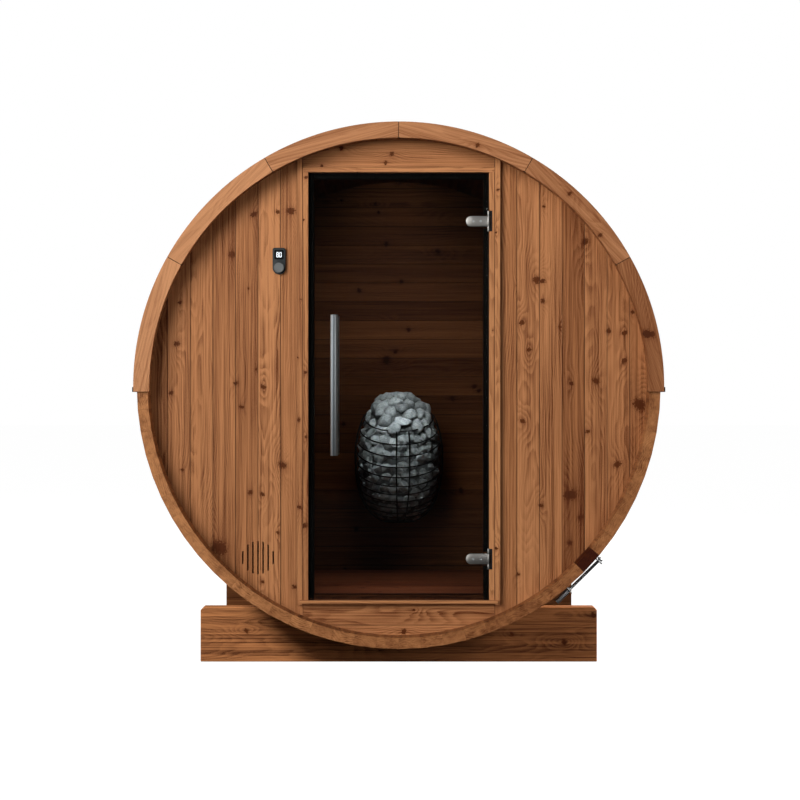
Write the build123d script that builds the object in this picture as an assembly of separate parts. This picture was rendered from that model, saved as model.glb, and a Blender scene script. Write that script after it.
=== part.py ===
from build123d import *
import os
from math import asin, atan2, cos, degrees, pi, radians, sin, sqrt, tan

# Barrel sauna: a staved wooden barrel on two cradles, with a boarded front wall, a tempered
# glass door on two hinges, a boarded back wall and a caged stone heater hung on that wall.
# Frame: +X right as one faces the door, +Y from the door to the back, +Z up. Millimetres.
# The origin is on the ground, under the middle of the barrel.

# ---------------------------------------------------------------- driving dimensions
STAVES = 72  # flat staves round the barrel
STAVE_ANGLE = 360 / STAVES
STAVES_PER_GROUP = 9
BARREL_APOTHEM = 1008.0  # from the axis to the flat outside of a stave
STAVE_THICK = 42.0
INNER_APOTHEM = BARREL_APOTHEM - STAVE_THICK
AXIS_Z = 1093.0  # height of the barrel's axis
HALF_LENGTH = 745.0  # to the front face of the arch trim
TRIM_THICK = 20.0
STAVE_END_Y = HALF_LENGTH - TRIM_THICK

WALL_THICK = 42.0
WALL_RECESS = 100.0  # front wall behind the arch trim's face
WALL_FRONT_Y = -(HALF_LENGTH - WALL_RECESS)
WALL_INSIDE_Y = WALL_FRONT_Y + WALL_THICK
CROZE_DEPTH = 10.0  # groove in the staves that holds an end wall
WALL_APOTHEM = INNER_APOTHEM + CROZE_DEPTH
JOINT_GROOVE = 1.6  # half-width and depth of the V at a stave joint

DOOR_HALF = 352.0  # clear opening between the jamb faces
DOOR_BOTTOM = 262.0
DOOR_TOP = 1929.0
JAMB_WIDTH = 21.0
HEAD_HEIGHT = 20.0
SILL_HEIGHT = 17.0
CASING_WIDTH = 23.0
FRAME_PROUD = 22.0  # of the front wall's face
STOP_WIDTH = 22.0  # how far the stop reaches in behind the glass
FRAME_HALF = DOOR_HALF + JAMB_WIDTH
FRAME_Y = WALL_FRONT_Y - FRAME_PROUD

GLASS_THICK = 8.0
GLASS_FRONT_Y = FRAME_Y + 15.0
GLASS_BACK_Y = GLASS_FRONT_Y + GLASS_THICK
GLASS_LEFT = -346.0
GLASS_RIGHT = 344.0
GLASS_GAP = 6.0  # above and below the glass
STOP_Y = GLASS_BACK_Y + 5.5

HINGE_X = 349.5
HINGE_Y = GLASS_FRONT_Y - 4.5
HINGE_HEIGHTS = {"upper": 1739.0, "lower": 424.0}
KNUCKLE_RADIUS = 4.5
PIN_RADIUS = 2.5
PIN_CLEARANCE = 0.05
LEAF_THICK = 6.0  # of the bent parts beside the pin
LEAF_CLEARANCE = 1.0  # above and below the leaf's knuckle
CLAMP_THICK = 8.0  # plate on the outside of the glass
CLAMP_BACK_THICK = 5.0
HINGE_ARM = 82.0  # length of the clamp plate on the glass
ARM_HEIGHT = 40.0
PLATE_HEIGHT = 80.0  # bracket let into the jamb
NOTCH_DEPTH = 12.0  # of its recess in the jamb
STOP_NOTCH_DEPTH = 6.0  # room in the stop for the clamp's back plate
STOP_NOTCH_INSET = 12.0

BAR_X = -253.0
BAR_RADIUS = 16.0
BAR_LOW = 828.0
BAR_HIGH = 1372.0
BAR_GAP = 45.0  # between the glass and the bar
POST_RADIUS = 9.0
POST_INSET = 60.0
STUD_RADIUS = 5.0  # through the glass
STUD_HOLE_RADIUS = 6.0

VENT_X = -549.0
VENT_Z = 428.0
VENT_RADIUS = 64.5
VENT_PITCH = 19.8
VENT_SLOT = 5.0
VENT_SIDE_SLOTS = 3  # on each side of the middle slot

PANEL_X = -466.0
PANEL_Z = 1584.0
PANEL_WIDTH = 50.0
PANEL_HEIGHT = 103.0
PANEL_THICK = 14.0
PANEL_CORNER = 8.0
KNOB_RADIUS = 19.0
KNOB_DEPTH = 14.0
SPINDLE_RADIUS = 4.0
SPINDLE_LENGTH = 8.0
SPINDLE_CLEARANCE = 0.06
KNOB_GAP = 0.5  # between the knob and the panel, and past the spindle's end

TRIM_OUTER = 1020.0
TRIM_INNER = 958.0
TRIM_BOARDS = 6  # of equal length round the arch
TRIM_GAP = 1.2
TRIM_DROP = 18.0  # how far the arch trim reaches below the axis
SHINGLE_COURSES = 9  # on each side of the ridge
SHINGLE_BUTT = TRIM_OUTER - 0.5  # radius at a course's thick lower edge
SHINGLE_HEAD = TRIM_OUTER - 4.5  # radius where the next course starts
SHINGLE_STEP = 0.02  # degrees that the step between two courses takes
EAVE_HEIGHT = 19.0
EAVE_OUT = 1027.0

BAND_THICK = 1.5
BAND_WIDTH = 30.0
BAND_Y = 624.0
BAND_UPPER = 48.5  # degrees from straight down, at the lugs
BAND_LOWER = 39.5
BAND_CLEARANCE = 0.5  # under the roof covers
LUG_RADIUS = 1036.0  # from the barrel's axis to the rod
LUG_THICK = 14.0
LUG_REACH = 12.0  # past the rod
LUG_GAP = 0.1  # between a lug and the band
LUG_TURN = 1.0  # degrees from a band's end to its lug
ROD_RADIUS = 5.5
ROD_START = 1.2  # degrees that the rod stands out past the upper lug
NUT_RADIUS = 10.0
NUT_THICK = 9.0
LONG_NUT = 70.0  # beyond the lower lug
NUT_OVERLAP = 2.0  # with the rod's end in the lug

CRADLE_HALF = 790.0
CRADLE_HEIGHT = 218.0
CRADLE_THICK = 60.0
CRADLE_FACE_Y = 509.0
CRADLE_CHAMFER = 12.0

FLOOR_TOP = 250.0
FLOOR_THICK = 22.0
FLOOR_BOARDS = 11
FLOOR_BOARD = 88.0
FLOOR_BOARD_GAP = 4.0
JOIST_THICK = 45.0
JOIST_YS = (-480.0, 0.0, 480.0)

HEATER_Y = 393.0
HEATER_Z = 790.0  # height of the egg's widest part
EGG_RADIUS = 194.0
EGG_ABOVE = 297.0  # from the widest part up to the crown
EGG_BELOW = 307.0
EGG_STEPS = 10
STONE_SIDES = 16
CAGE_TILT = 22.0  # the rings lean down towards the door
CAGE_WIRE = 4.0
WELD_DEPTH = 1.0  # how far the upright wires sink into the rings they are welded to
CAGE_RINGS = 11
RING_SIDES = 16
RING_TOP_Z = 957.0
RING_FIRST_GAP = 49.0
RING_GAP_STEP = 2.15
MERIDIANS = 4
STONE_CLEAR = 5.0  # from the middle of the wires to the stones
BASE_Z = 494.0
BASE_THICK = 4.0
BRACKET_THICK = 6.0
BRACKET_HALF_WIDTH = 60.0
BRACKET_HALF_HEIGHT = 120.0
SPACER_HALF_WIDTH = 15.0
SPACER_HEIGHT = 20.0
SPACER_LIFTS = (-70.0, 50.0)  # from the egg's widest part


# ---------------------------------------------------------------- helpers
def box(x0, x1, y0, y1, z0, z1):
    """A block between two corners."""
    centre = ((x0 + x1) / 2, (y0 + y1) / 2, (z0 + z1) / 2)
    return Pos(*centre) * Box(x1 - x0, y1 - y0, z1 - z0)


def on_barrel(radius, angle):
    """The (x, z) place at an angle in degrees from straight down, turning towards +X."""
    return (radius * sin(radians(angle)), AXIS_Z - radius * cos(radians(angle)))


def prism(outline, y0, y1):
    """The outline, given as (x, z) points, run along the barrel from y0 to y1."""
    face = make_face(Polyline([(x, y0, z) for x, z in outline], close=True).edges())
    return extrude(face, amount=y1 - y0, dir=(0, 1, 0))


def stave_corner(apothem):
    """Radius of the corner between two flat faces at this apothem."""
    return apothem / cos(radians(STAVE_ANGLE / 2))


def stave_ring(apothem, first, last):
    """Corner points on the faceted barrel from one angle to another."""
    steps = round((last - first) / STAVE_ANGLE)
    return [on_barrel(stave_corner(apothem), first + i * STAVE_ANGLE) for i in range(steps + 1)]


def grooved_ring(apothem, first, last):
    """The same corners, with a small V cut at each joint between two staves."""
    half_flat = apothem * tan(radians(STAVE_ANGLE / 2))
    edge_angle = degrees(atan2(half_flat - JOINT_GROOVE, apothem))
    edge_radius = apothem / cos(radians(edge_angle))
    bottom_radius = stave_corner(apothem) - JOINT_GROOVE
    points = []
    for i in range(round((last - first) / STAVE_ANGLE)):
        start = first + i * STAVE_ANGLE
        middle = start + STAVE_ANGLE / 2
        points.append(on_barrel(bottom_radius, start))
        points.append(on_barrel(edge_radius, middle - edge_angle))
        points.append(on_barrel(edge_radius, middle + edge_angle))
    points.append(on_barrel(bottom_radius, last))
    return points


def barrel_prism(apothem, y0, y1):
    """The whole faceted barrel as one solid between two planes."""
    return prism(stave_ring(apothem, 0, 360)[:-1], y0, y1)


def cylinder_z(x, y, radius, z0, z1):
    return Pos(x, y, (z0 + z1) / 2) * Cylinder(radius, z1 - z0)


def cylinder_y(x, z, radius, y0, y1):
    return Pos(x, (y0 + y1) / 2, z) * Rot(90, 0, 0) * Cylinder(radius, y1 - y0)


NODES = {}


def keep(name, shape):
    NODES[name] = shape


# ---------------------------------------------------------------- barrel
def stave_groups():
    """Eight groups of nine staves, with the two croze grooves cut inside."""
    grooves = [
        barrel_prism(WALL_APOTHEM, WALL_FRONT_Y, WALL_INSIDE_Y),
        barrel_prism(WALL_APOTHEM, -WALL_INSIDE_Y, -WALL_FRONT_Y),
    ]
    span = STAVES_PER_GROUP * STAVE_ANGLE
    for number in range(round(360 / span)):
        first = number * span
        outside = grooved_ring(BARREL_APOTHEM, first, first + span)
        inside = stave_ring(INNER_APOTHEM, first, first + span)
        group = prism(outside + inside[::-1], -STAVE_END_Y, STAVE_END_Y)
        for groove in grooves:
            group -= groove
        keep(f"staves_{number + 1}", group)


def end_walls():
    """The front wall in four pieces round the door frame, and the back wall."""
    wall = barrel_prism(WALL_APOTHEM, WALL_FRONT_Y, WALL_INSIDE_Y)
    far = BARREL_APOTHEM
    top = DOOR_TOP + HEAD_HEIGHT
    bottom = DOOR_BOTTOM - SILL_HEIGHT
    ys = (WALL_FRONT_Y - 1, WALL_INSIDE_Y + 1)
    left = wall & box(-far, -FRAME_HALF, *ys, 0, AXIS_Z + far)
    left -= vent_slots()
    keep("front_wall_left", left)
    keep("front_wall_right", wall & box(FRAME_HALF, far, *ys, 0, AXIS_Z + far))
    keep("front_wall_over_door", wall & box(-FRAME_HALF, FRAME_HALF, *ys, top, AXIS_Z + far))
    keep("front_wall_under_door", wall & box(-FRAME_HALF, FRAME_HALF, *ys, 0, bottom))
    keep("back_wall", barrel_prism(WALL_APOTHEM, -WALL_INSIDE_Y, -WALL_FRONT_Y))


def vent_slots():
    """Upright slots through the left wall, cut to the outline of a circle."""
    slots = []
    for i in range(-VENT_SIDE_SLOTS, VENT_SIDE_SLOTS + 1):
        x = VENT_X + i * VENT_PITCH
        half = sqrt(VENT_RADIUS**2 - (i * VENT_PITCH) ** 2)
        xs = (x - VENT_SLOT / 2, x + VENT_SLOT / 2)
        slots.append(box(*xs, WALL_FRONT_Y - 1, WALL_INSIDE_Y + 1, VENT_Z - half, VENT_Z + half))
    return slots


# ---------------------------------------------------------------- door frame
def door_frame():
    """Jambs with their stops, head, sill and the two casing strips."""
    notches = []
    for z in HINGE_HEIGHTS.values():
        low, high = z - PLATE_HEIGHT / 2, z + PLATE_HEIGHT / 2
        notches.append(box(DOOR_HALF, DOOR_HALF + NOTCH_DEPTH, FRAME_Y, STOP_Y, low, high))
        low, high = low + STOP_NOTCH_INSET, high - STOP_NOTCH_INSET
        notches.append(box(0, DOOR_HALF, STOP_Y, STOP_Y + STOP_NOTCH_DEPTH, low, high))
    for side, name in ((-1, "left"), (1, "right")):
        xs = sorted((side * DOOR_HALF, side * FRAME_HALF))
        stop = sorted((side * (DOOR_HALF - STOP_WIDTH), side * DOOR_HALF))
        jamb = box(*xs, FRAME_Y, WALL_INSIDE_Y, DOOR_BOTTOM, DOOR_TOP)
        jamb += box(*stop, STOP_Y, WALL_INSIDE_Y, DOOR_BOTTOM + STOP_WIDTH, DOOR_TOP - STOP_WIDTH)
        if side > 0:
            jamb -= notches
        keep(f"door_jamb_{name}", jamb)
        outer = sorted((side * FRAME_HALF, side * (FRAME_HALF + CASING_WIDTH)))
        strip = box(*outer, FRAME_Y, WALL_FRONT_Y, DOOR_BOTTOM - SILL_HEIGHT, AXIS_Z + BARREL_APOTHEM)
        strip &= barrel_prism(INNER_APOTHEM, FRAME_Y, WALL_FRONT_Y)
        keep(f"door_casing_{name}", strip)
    head = box(-FRAME_HALF, FRAME_HALF, FRAME_Y, WALL_INSIDE_Y, DOOR_TOP, DOOR_TOP + HEAD_HEIGHT)
    head += box(-DOOR_HALF, DOOR_HALF, STOP_Y, WALL_INSIDE_Y, DOOR_TOP - STOP_WIDTH, DOOR_TOP)
    keep("door_head", head)
    sill = box(-FRAME_HALF, FRAME_HALF, FRAME_Y, WALL_INSIDE_Y, DOOR_BOTTOM - SILL_HEIGHT, DOOR_BOTTOM)
    sill += box(-DOOR_HALF, DOOR_HALF, STOP_Y, WALL_INSIDE_Y, DOOR_BOTTOM, DOOR_BOTTOM + STOP_WIDTH)
    keep("door_sill", sill)


# ---------------------------------------------------------------- door
def glass_door():
    """The glass leaf, drilled for the studs that join the two pull bars."""
    glass = box(
        GLASS_LEFT, GLASS_RIGHT, GLASS_FRONT_Y, GLASS_BACK_Y, DOOR_BOTTOM + GLASS_GAP, DOOR_TOP - GLASS_GAP
    )
    posts = (BAR_LOW + POST_INSET, BAR_HIGH - POST_INSET)
    for z in posts:
        glass -= cylinder_y(BAR_X, z, STUD_HOLE_RADIUS, GLASS_FRONT_Y - 1, GLASS_BACK_Y + 1)
    keep("door_glass", glass)

    outside_y = GLASS_FRONT_Y - BAR_GAP - BAR_RADIUS
    outside = cylinder_z(BAR_X, outside_y, BAR_RADIUS, BAR_LOW, BAR_HIGH)
    inside_y = GLASS_BACK_Y + BAR_GAP + BAR_RADIUS
    inside = cylinder_z(BAR_X, inside_y, BAR_RADIUS, BAR_LOW, BAR_HIGH)
    for z in posts:
        outside += cylinder_y(BAR_X, z, POST_RADIUS, outside_y, GLASS_FRONT_Y)
        inside += cylinder_y(BAR_X, z, POST_RADIUS, GLASS_BACK_Y, inside_y)
        inside += cylinder_y(BAR_X, z, STUD_RADIUS, GLASS_FRONT_Y, inside_y)
    keep("pull_bar_outside", outside)
    keep("pull_bar_inside", inside)


def hinges():
    """Each hinge: a clamp leaf on the glass and a notched-in bracket that holds the pin."""
    half_leaf = LEAF_THICK / 2
    leaf_ys = (HINGE_Y - half_leaf, HINGE_Y + half_leaf)
    half = ARM_HEIGHT / 2 - LEAF_CLEARANCE
    arm = SlotOverall(2 * HINGE_ARM, ARM_HEIGHT)
    arm &= Pos(-HINGE_ARM / 2, 0) * Rectangle(HINGE_ARM, ARM_HEIGHT)
    arm_x = HINGE_X - KNUCKLE_RADIUS - LEAF_CLEARANCE
    for name, z in HINGE_HEIGHTS.items():
        front = Pos(arm_x, GLASS_FRONT_Y, z) * Rot(90, 0, 0) * extrude(arm, amount=CLAMP_THICK)
        back_y = GLASS_BACK_Y + CLAMP_BACK_THICK
        back = Pos(arm_x, back_y, z) * Rot(90, 0, 0) * extrude(arm, amount=CLAMP_BACK_THICK)
        neck = box(HINGE_X - LEAF_THICK, HINGE_X, *leaf_ys, z - half, z + half)
        leaf = front + neck + cylinder_z(HINGE_X, HINGE_Y, KNUCKLE_RADIUS, z - half, z + half)
        leaf -= cylinder_z(HINGE_X, HINGE_Y, PIN_RADIUS + PIN_CLEARANCE, z - ARM_HEIGHT, z + ARM_HEIGHT)
        keep(f"hinge_leaf_{name}", Compound([leaf.solid(), back.solid()]))

        low, high = z - PLATE_HEIGHT / 2, z + PLATE_HEIGHT / 2
        plate_x = DOOR_HALF + NOTCH_DEPTH - LEAF_THICK
        bracket = box(plate_x, DOOR_HALF + NOTCH_DEPTH, FRAME_Y, STOP_Y, low, high)
        bracket += cylinder_z(HINGE_X, HINGE_Y, PIN_RADIUS, low, high)
        gap = half + LEAF_CLEARANCE
        for z0, z1 in ((low, z - gap), (z + gap, high)):
            bracket += cylinder_z(HINGE_X, HINGE_Y, KNUCKLE_RADIUS, z0, z1)
            bracket += box(HINGE_X, plate_x, *leaf_ys, z0, z1)
        keep(f"hinge_bracket_{name}", bracket)


# ---------------------------------------------------------------- control unit
def control_unit():
    """A capsule-shaped panel on the wall, with a rotary dial at its foot."""
    half = PANEL_WIDTH / 2
    outline = Pos(0, half / 2) * RectangleRounded(PANEL_WIDTH, PANEL_HEIGHT - half, PANEL_CORNER)
    outline += Pos(0, half - PANEL_HEIGHT / 2) * Circle(half)
    body = extrude(outline, amount=PANEL_THICK)
    body = Pos(PANEL_X, WALL_FRONT_Y, PANEL_Z) * Rot(90, 0, 0) * body
    knob_z = PANEL_Z - PANEL_HEIGHT / 2 + half
    face_y = WALL_FRONT_Y - PANEL_THICK
    body += cylinder_y(PANEL_X, knob_z, SPINDLE_RADIUS, face_y - SPINDLE_LENGTH, face_y)
    keep("control_panel", body)
    knob = cylinder_y(PANEL_X, knob_z, KNOB_RADIUS, face_y - KNOB_DEPTH, face_y - KNOB_GAP)
    bore_end = face_y - SPINDLE_LENGTH - KNOB_GAP
    knob -= cylinder_y(PANEL_X, knob_z, SPINDLE_RADIUS + SPINDLE_CLEARANCE, bore_end, face_y)
    keep("control_knob", knob)


# ---------------------------------------------------------------- roof, trim and eaves
def arch_trims():
    """Six curved boards of one length round the upper half of each end of the barrel."""
    first = 90 - degrees(asin(TRIM_DROP / TRIM_OUTER))
    share = (360 - 2 * first) / TRIM_BOARDS
    reach = TRIM_OUTER + 10
    for name, y0 in (("front", -HALF_LENGTH), ("back", STAVE_END_Y)):
        ys = (y0 - 1, y0 + TRIM_THICK + 1)
        ring = cylinder_y(0, AXIS_Z, TRIM_OUTER, y0, y0 + TRIM_THICK)
        ring -= cylinder_y(0, AXIS_Z, TRIM_INNER, *ys)
        ring -= box(-reach, reach, *ys, AXIS_Z - reach, AXIS_Z - TRIM_DROP)
        for i in range(1, TRIM_BOARDS):
            cut = box(-TRIM_GAP / 2, TRIM_GAP / 2, *ys, -reach, -TRIM_INNER / 2)
            ring -= Pos(0, 0, AXIS_Z) * Rot(0, -first - i * share, 0) * cut
        keep(f"arch_trim_{name}", ring)


def roof_covers():
    """Shingle courses over the upper half, each one lapping the course below."""
    course = 90.0 / SHINGLE_COURSES
    corners = round(90 / STAVE_ANGLE) + 1
    inside = [(stave_corner(BARREL_APOTHEM), 90 + i * STAVE_ANGLE) for i in range(corners)]
    outside = []
    for i in range(SHINGLE_COURSES):
        outside.append((SHINGLE_BUTT, 90 + i * course))
        outside.append((SHINGLE_HEAD, 90 + (i + 1) * course - SHINGLE_STEP))
    for side, name in ((1, "right"), (-1, "left")):
        outline = [on_barrel(r, a) for r, a in outside + inside[::-1]]
        outline = [(side * x, z) for x, z in outline]
        cover = prism(outline, -STAVE_END_Y, STAVE_END_Y)
        cover -= band_recess()
        keep(f"roof_cover_{name}", cover)
        xs = sorted((side * (BARREL_APOTHEM - 1), side * EAVE_OUT))
        strip = box(*xs, -STAVE_END_Y, STAVE_END_Y, AXIS_Z - EAVE_HEIGHT, AXIS_Z)
        strip -= barrel_prism(BARREL_APOTHEM, -HALF_LENGTH, HALF_LENGTH)
        strip -= band_recess()
        keep(f"eave_strip_{name}", strip)


def band_recess():
    """Room for the two bands where something lies over them."""
    reach = BAND_WIDTH / 2 + 1
    apothem = BARREL_APOTHEM + BAND_THICK + BAND_CLEARANCE
    return [barrel_prism(apothem, y - reach, y + reach) for y in (-BAND_Y, BAND_Y)]


# ---------------------------------------------------------------- tension bands
def bands():
    """Steel bands round the staves, drawn tight by a rod between two lugs."""
    beyond = 1.3 * BARREL_APOTHEM
    for name, side in (("front", -1), ("rear", 1)):
        y = side * BAND_Y
        y0, y1 = y - BAND_WIDTH / 2, y + BAND_WIDTH / 2
        band = barrel_prism(BARREL_APOTHEM + BAND_THICK, y0, y1)
        band -= barrel_prism(BARREL_APOTHEM, y0 - 1, y1 + 1)
        low, high = on_barrel(beyond, BAND_LOWER), on_barrel(beyond, BAND_UPPER)
        band -= prism([(0, AXIS_Z), low, high], y0 - 1, y1 + 1)
        keep(f"band_{name}", band)
        keep(f"band_bolt_{name}", band_bolt(y))


def band_bolt(y):
    """Two lugs at the band's ends, the rod through them, its nut and its long nut."""
    inner = stave_corner(BARREL_APOTHEM) + BAND_THICK
    depth = LUG_RADIUS + LUG_REACH - inner
    upper, lower = BAND_UPPER + LUG_TURN, BAND_LOWER - LUG_TURN
    lugs = []
    for angle in (upper, lower):
        lug = Pos(0, 0, -inner - LUG_GAP - depth / 2) * Box(LUG_THICK, BAND_WIDTH, depth)
        lugs.append(Pos(0, y, AXIS_Z) * Rot(0, -angle, 0) * lug)
    x0, z0 = on_barrel(LUG_RADIUS, upper + ROD_START)
    x1, z1 = on_barrel(LUG_RADIUS, lower)
    axis = Plane(origin=(x0, y, z0), z_dir=(x1 - x0, 0, z1 - z0))
    length = sqrt((x1 - x0) ** 2 + (z1 - z0) ** 2)
    bolt = lugs[0] + lugs[1]
    bolt += axis * Pos(0, 0, length / 2) * Cylinder(ROD_RADIUS, length)
    bolt += axis * extrude(RegularPolygon(NUT_RADIUS, 6), amount=NUT_THICK)
    long_nut = extrude(RegularPolygon(NUT_RADIUS, 6), amount=LONG_NUT)
    bolt += axis * Pos(0, 0, length - NUT_OVERLAP) * long_nut
    return bolt


# ---------------------------------------------------------------- cradles and floor
def cradles():
    """Two planks on edge, hollowed to the staves that rest in them."""
    for name, y0 in (("front", -CRADLE_FACE_Y), ("rear", CRADLE_FACE_Y - CRADLE_THICK)):
        plank = box(-CRADLE_HALF, CRADLE_HALF, y0, y0 + CRADLE_THICK, 0, CRADLE_HEIGHT)
        corners = plank.edges().filter_by(Axis.Y).group_by(Axis.Z)[-1]
        plank = chamfer(corners, CRADLE_CHAMFER)
        plank -= barrel_prism(BARREL_APOTHEM, y0 - 1, y0 + CRADLE_THICK + 1)
        keep(f"cradle_{name}", plank)


def floor():
    """Boards along the room on three joists that fit the curve of the staves."""
    ends = (WALL_INSIDE_Y, -WALL_INSIDE_Y)
    room = barrel_prism(INNER_APOTHEM, *ends)
    boards = []
    for i in range(FLOOR_BOARDS):
        x0 = (i - FLOOR_BOARDS / 2) * FLOOR_BOARD + FLOOR_BOARD_GAP / 2
        x1 = x0 + FLOOR_BOARD - FLOOR_BOARD_GAP
        board = box(x0, x1, *ends, FLOOR_TOP - FLOOR_THICK, FLOOR_TOP) & room
        boards.append(board.solid())
    keep("floor_boards", Compound(boards))
    joists = []
    half = FLOOR_BOARDS / 2 * FLOOR_BOARD
    for y in JOIST_YS:
        ys = (y - JOIST_THICK / 2, y + JOIST_THICK / 2)
        joist = box(-half, half, *ys, 0, FLOOR_TOP - FLOOR_THICK) & room
        joists.append(joist.solid())
    keep("floor_joists", Compound(joists))


# ---------------------------------------------------------------- heater
def egg_radius(z):
    """Radius of the cage at a height: round above its widest part and blunter below it."""
    if z >= HEATER_Z:
        share, power = (z - HEATER_Z) / EGG_ABOVE, 2.0
    else:
        share, power = (HEATER_Z - z) / EGG_BELOW, 2.4
    return EGG_RADIUS * max(0.0, 1 - share**power) ** (1 / power)


def egg_outline(inset, low, high):
    """(radius, z) points of the egg from a flat foot up to its crown."""
    heights = [low + (high - low) * (1 - cos(pi * i / EGG_STEPS)) / 2 for i in range(EGG_STEPS + 1)]
    return [(max(egg_radius(z) - inset, 0.0), z) for z in heights]


def heater_stones():
    """The heap of stones as one closed, faceted egg standing on the cage's base plate."""
    crown = HEATER_Z + EGG_ABOVE - STONE_CLEAR
    points = []
    for radius, z in egg_outline(STONE_CLEAR, BASE_Z, crown):
        for i in range(STONE_SIDES if radius > 0 else 1):
            turn = radians(i * 360 / STONE_SIDES)
            points.append((radius * cos(turn), HEATER_Y + radius * sin(turn), z))
    return ConvexPolyhedron(points)


def ring_point(z, angle, reach):
    """(x, y, z) from the heater's axis, in the leaning plane that crosses the axis at z."""
    x = reach * cos(radians(angle))
    along = reach * sin(radians(angle))
    lean = radians(CAGE_TILT)
    return (x, along * cos(lean), z + along * sin(lean))


def ring_reach(z, angle):
    """How far the leaning plane's ring lies from the axis at this angle, on the egg's surface."""
    low, high = 0.0, 2 * EGG_RADIUS
    for _ in range(30):
        reach = (low + high) / 2
        x, y, height = ring_point(z, angle, reach)
        if sqrt(x**2 + y**2) < egg_radius(height):
            low = reach
        else:
            high = reach
    return low


def cage_ring(z):
    """One ring of wire round the egg, leaning down towards the door."""
    half = CAGE_WIRE / 2
    angles = [i * 360 / RING_SIDES for i in range(RING_SIDES)]
    reach = [ring_reach(z, a) for a in angles]
    outer = [((r + half) * cos(radians(a)), (r + half) * sin(radians(a))) for r, a in zip(reach, angles)]
    inner = [((r - half) * cos(radians(a)), (r - half) * sin(radians(a))) for r, a in zip(reach, angles)]
    ring = make_face(Polyline(outer, close=True).edges()) - make_face(Polyline(inner, close=True).edges())
    return Pos(0, HEATER_Y, z) * Rot(CAGE_TILT, 0, 0) * extrude(ring, amount=half, both=True)


def cage_meridian(angle):
    """One upright wire welded to the outside of the rings, from the base plate to the top ring."""
    half = CAGE_WIRE / 2
    top = ring_point(RING_TOP_Z, angle, ring_reach(RING_TOP_Z, angle))[2] + half
    outer = egg_outline(WELD_DEPTH - 3 * half, BASE_Z - BASE_THICK, top)
    inner = egg_outline(WELD_DEPTH - half, BASE_Z - BASE_THICK, top)
    points = [(r, 0, z) for r, z in outer + inner[::-1]]
    strip = extrude(make_face(Polyline(points, close=True).edges()), amount=half, both=True)
    return Pos(0, HEATER_Y, 0) * Rot(0, 0, angle) * strip


def heater():
    """A heap of stones in a cage of tilted rings, held off the back wall by a bracket."""
    keep("heater_stones", heater_stones())
    base_radius = egg_radius(BASE_Z - BASE_THICK) + CAGE_WIRE / 2
    cage = Pos(0, HEATER_Y, BASE_Z - BASE_THICK / 2) * Cylinder(base_radius, BASE_THICK)
    z = RING_TOP_Z
    for i in range(CAGE_RINGS):
        cage += cage_ring(z)
        z -= RING_FIRST_GAP - i * RING_GAP_STEP
    for i in range(MERIDIANS):
        cage += cage_meridian(90 + i * 360 / MERIDIANS)
    wall_y = -WALL_INSIDE_Y
    plate_y = wall_y - BRACKET_THICK
    neck = (-SPACER_HALF_WIDTH, SPACER_HALF_WIDTH, HEATER_Y + EGG_RADIUS - CAGE_WIRE / 2, plate_y)
    for lift in SPACER_LIFTS:
        cage += box(*neck, HEATER_Z + lift, HEATER_Z + lift + SPACER_HEIGHT)
    keep("heater_cage", cage)
    low, high = HEATER_Z - BRACKET_HALF_HEIGHT, HEATER_Z + BRACKET_HALF_HEIGHT
    keep("heater_bracket", box(-BRACKET_HALF_WIDTH, BRACKET_HALF_WIDTH, plate_y, wall_y, low, high))


def build():
    stave_groups()
    end_walls()
    door_frame()
    glass_door()
    hinges()
    control_unit()
    arch_trims()
    roof_covers()
    bands()
    cradles()
    floor()
    heater()
    os.makedirs("parts", exist_ok=True)
    for name, shape in NODES.items():
        export_step(shape, f"parts/{name}.step")


build()
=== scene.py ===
import random
from math import asin, atan2, cos, hypot, pi, radians, sin, sqrt, tan

import bmesh
import bpy
from mathutils import Matrix, Vector, noise


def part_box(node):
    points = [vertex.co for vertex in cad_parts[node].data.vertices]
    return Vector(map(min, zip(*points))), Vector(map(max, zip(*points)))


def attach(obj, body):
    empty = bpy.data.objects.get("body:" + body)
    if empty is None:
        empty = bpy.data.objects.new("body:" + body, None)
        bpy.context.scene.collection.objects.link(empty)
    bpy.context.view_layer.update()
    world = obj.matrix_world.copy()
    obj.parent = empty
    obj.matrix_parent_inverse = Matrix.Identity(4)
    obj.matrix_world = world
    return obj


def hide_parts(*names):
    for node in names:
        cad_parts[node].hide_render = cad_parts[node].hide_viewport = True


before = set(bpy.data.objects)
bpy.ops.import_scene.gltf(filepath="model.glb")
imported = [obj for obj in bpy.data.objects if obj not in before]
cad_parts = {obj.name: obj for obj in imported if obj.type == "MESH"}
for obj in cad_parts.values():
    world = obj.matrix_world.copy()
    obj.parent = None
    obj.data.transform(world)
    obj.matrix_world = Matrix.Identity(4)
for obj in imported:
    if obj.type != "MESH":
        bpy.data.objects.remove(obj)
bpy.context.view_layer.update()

# ---------- sizes read from the frame
BACK_LOW, BACK_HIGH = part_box("back_wall")
TRIM_LOW, TRIM_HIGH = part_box("arch_trim_front")
WALL_LOW, WALL_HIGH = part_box("front_wall_right")
HEADER_LOW, HEADER_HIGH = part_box("front_wall_over_door")
FOOT_LOW, FOOT_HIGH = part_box("front_wall_under_door")
GLASS_LOW, GLASS_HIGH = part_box("door_glass")
STONE_LOW, STONE_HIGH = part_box("heater_stones")
PANEL_LOW, PANEL_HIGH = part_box("control_panel")
KNOB_LOW, KNOB_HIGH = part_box("control_knob")
BRACKET_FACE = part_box("heater_bracket")[0].y
STAVE_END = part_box("staves_1")[1].y

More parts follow.
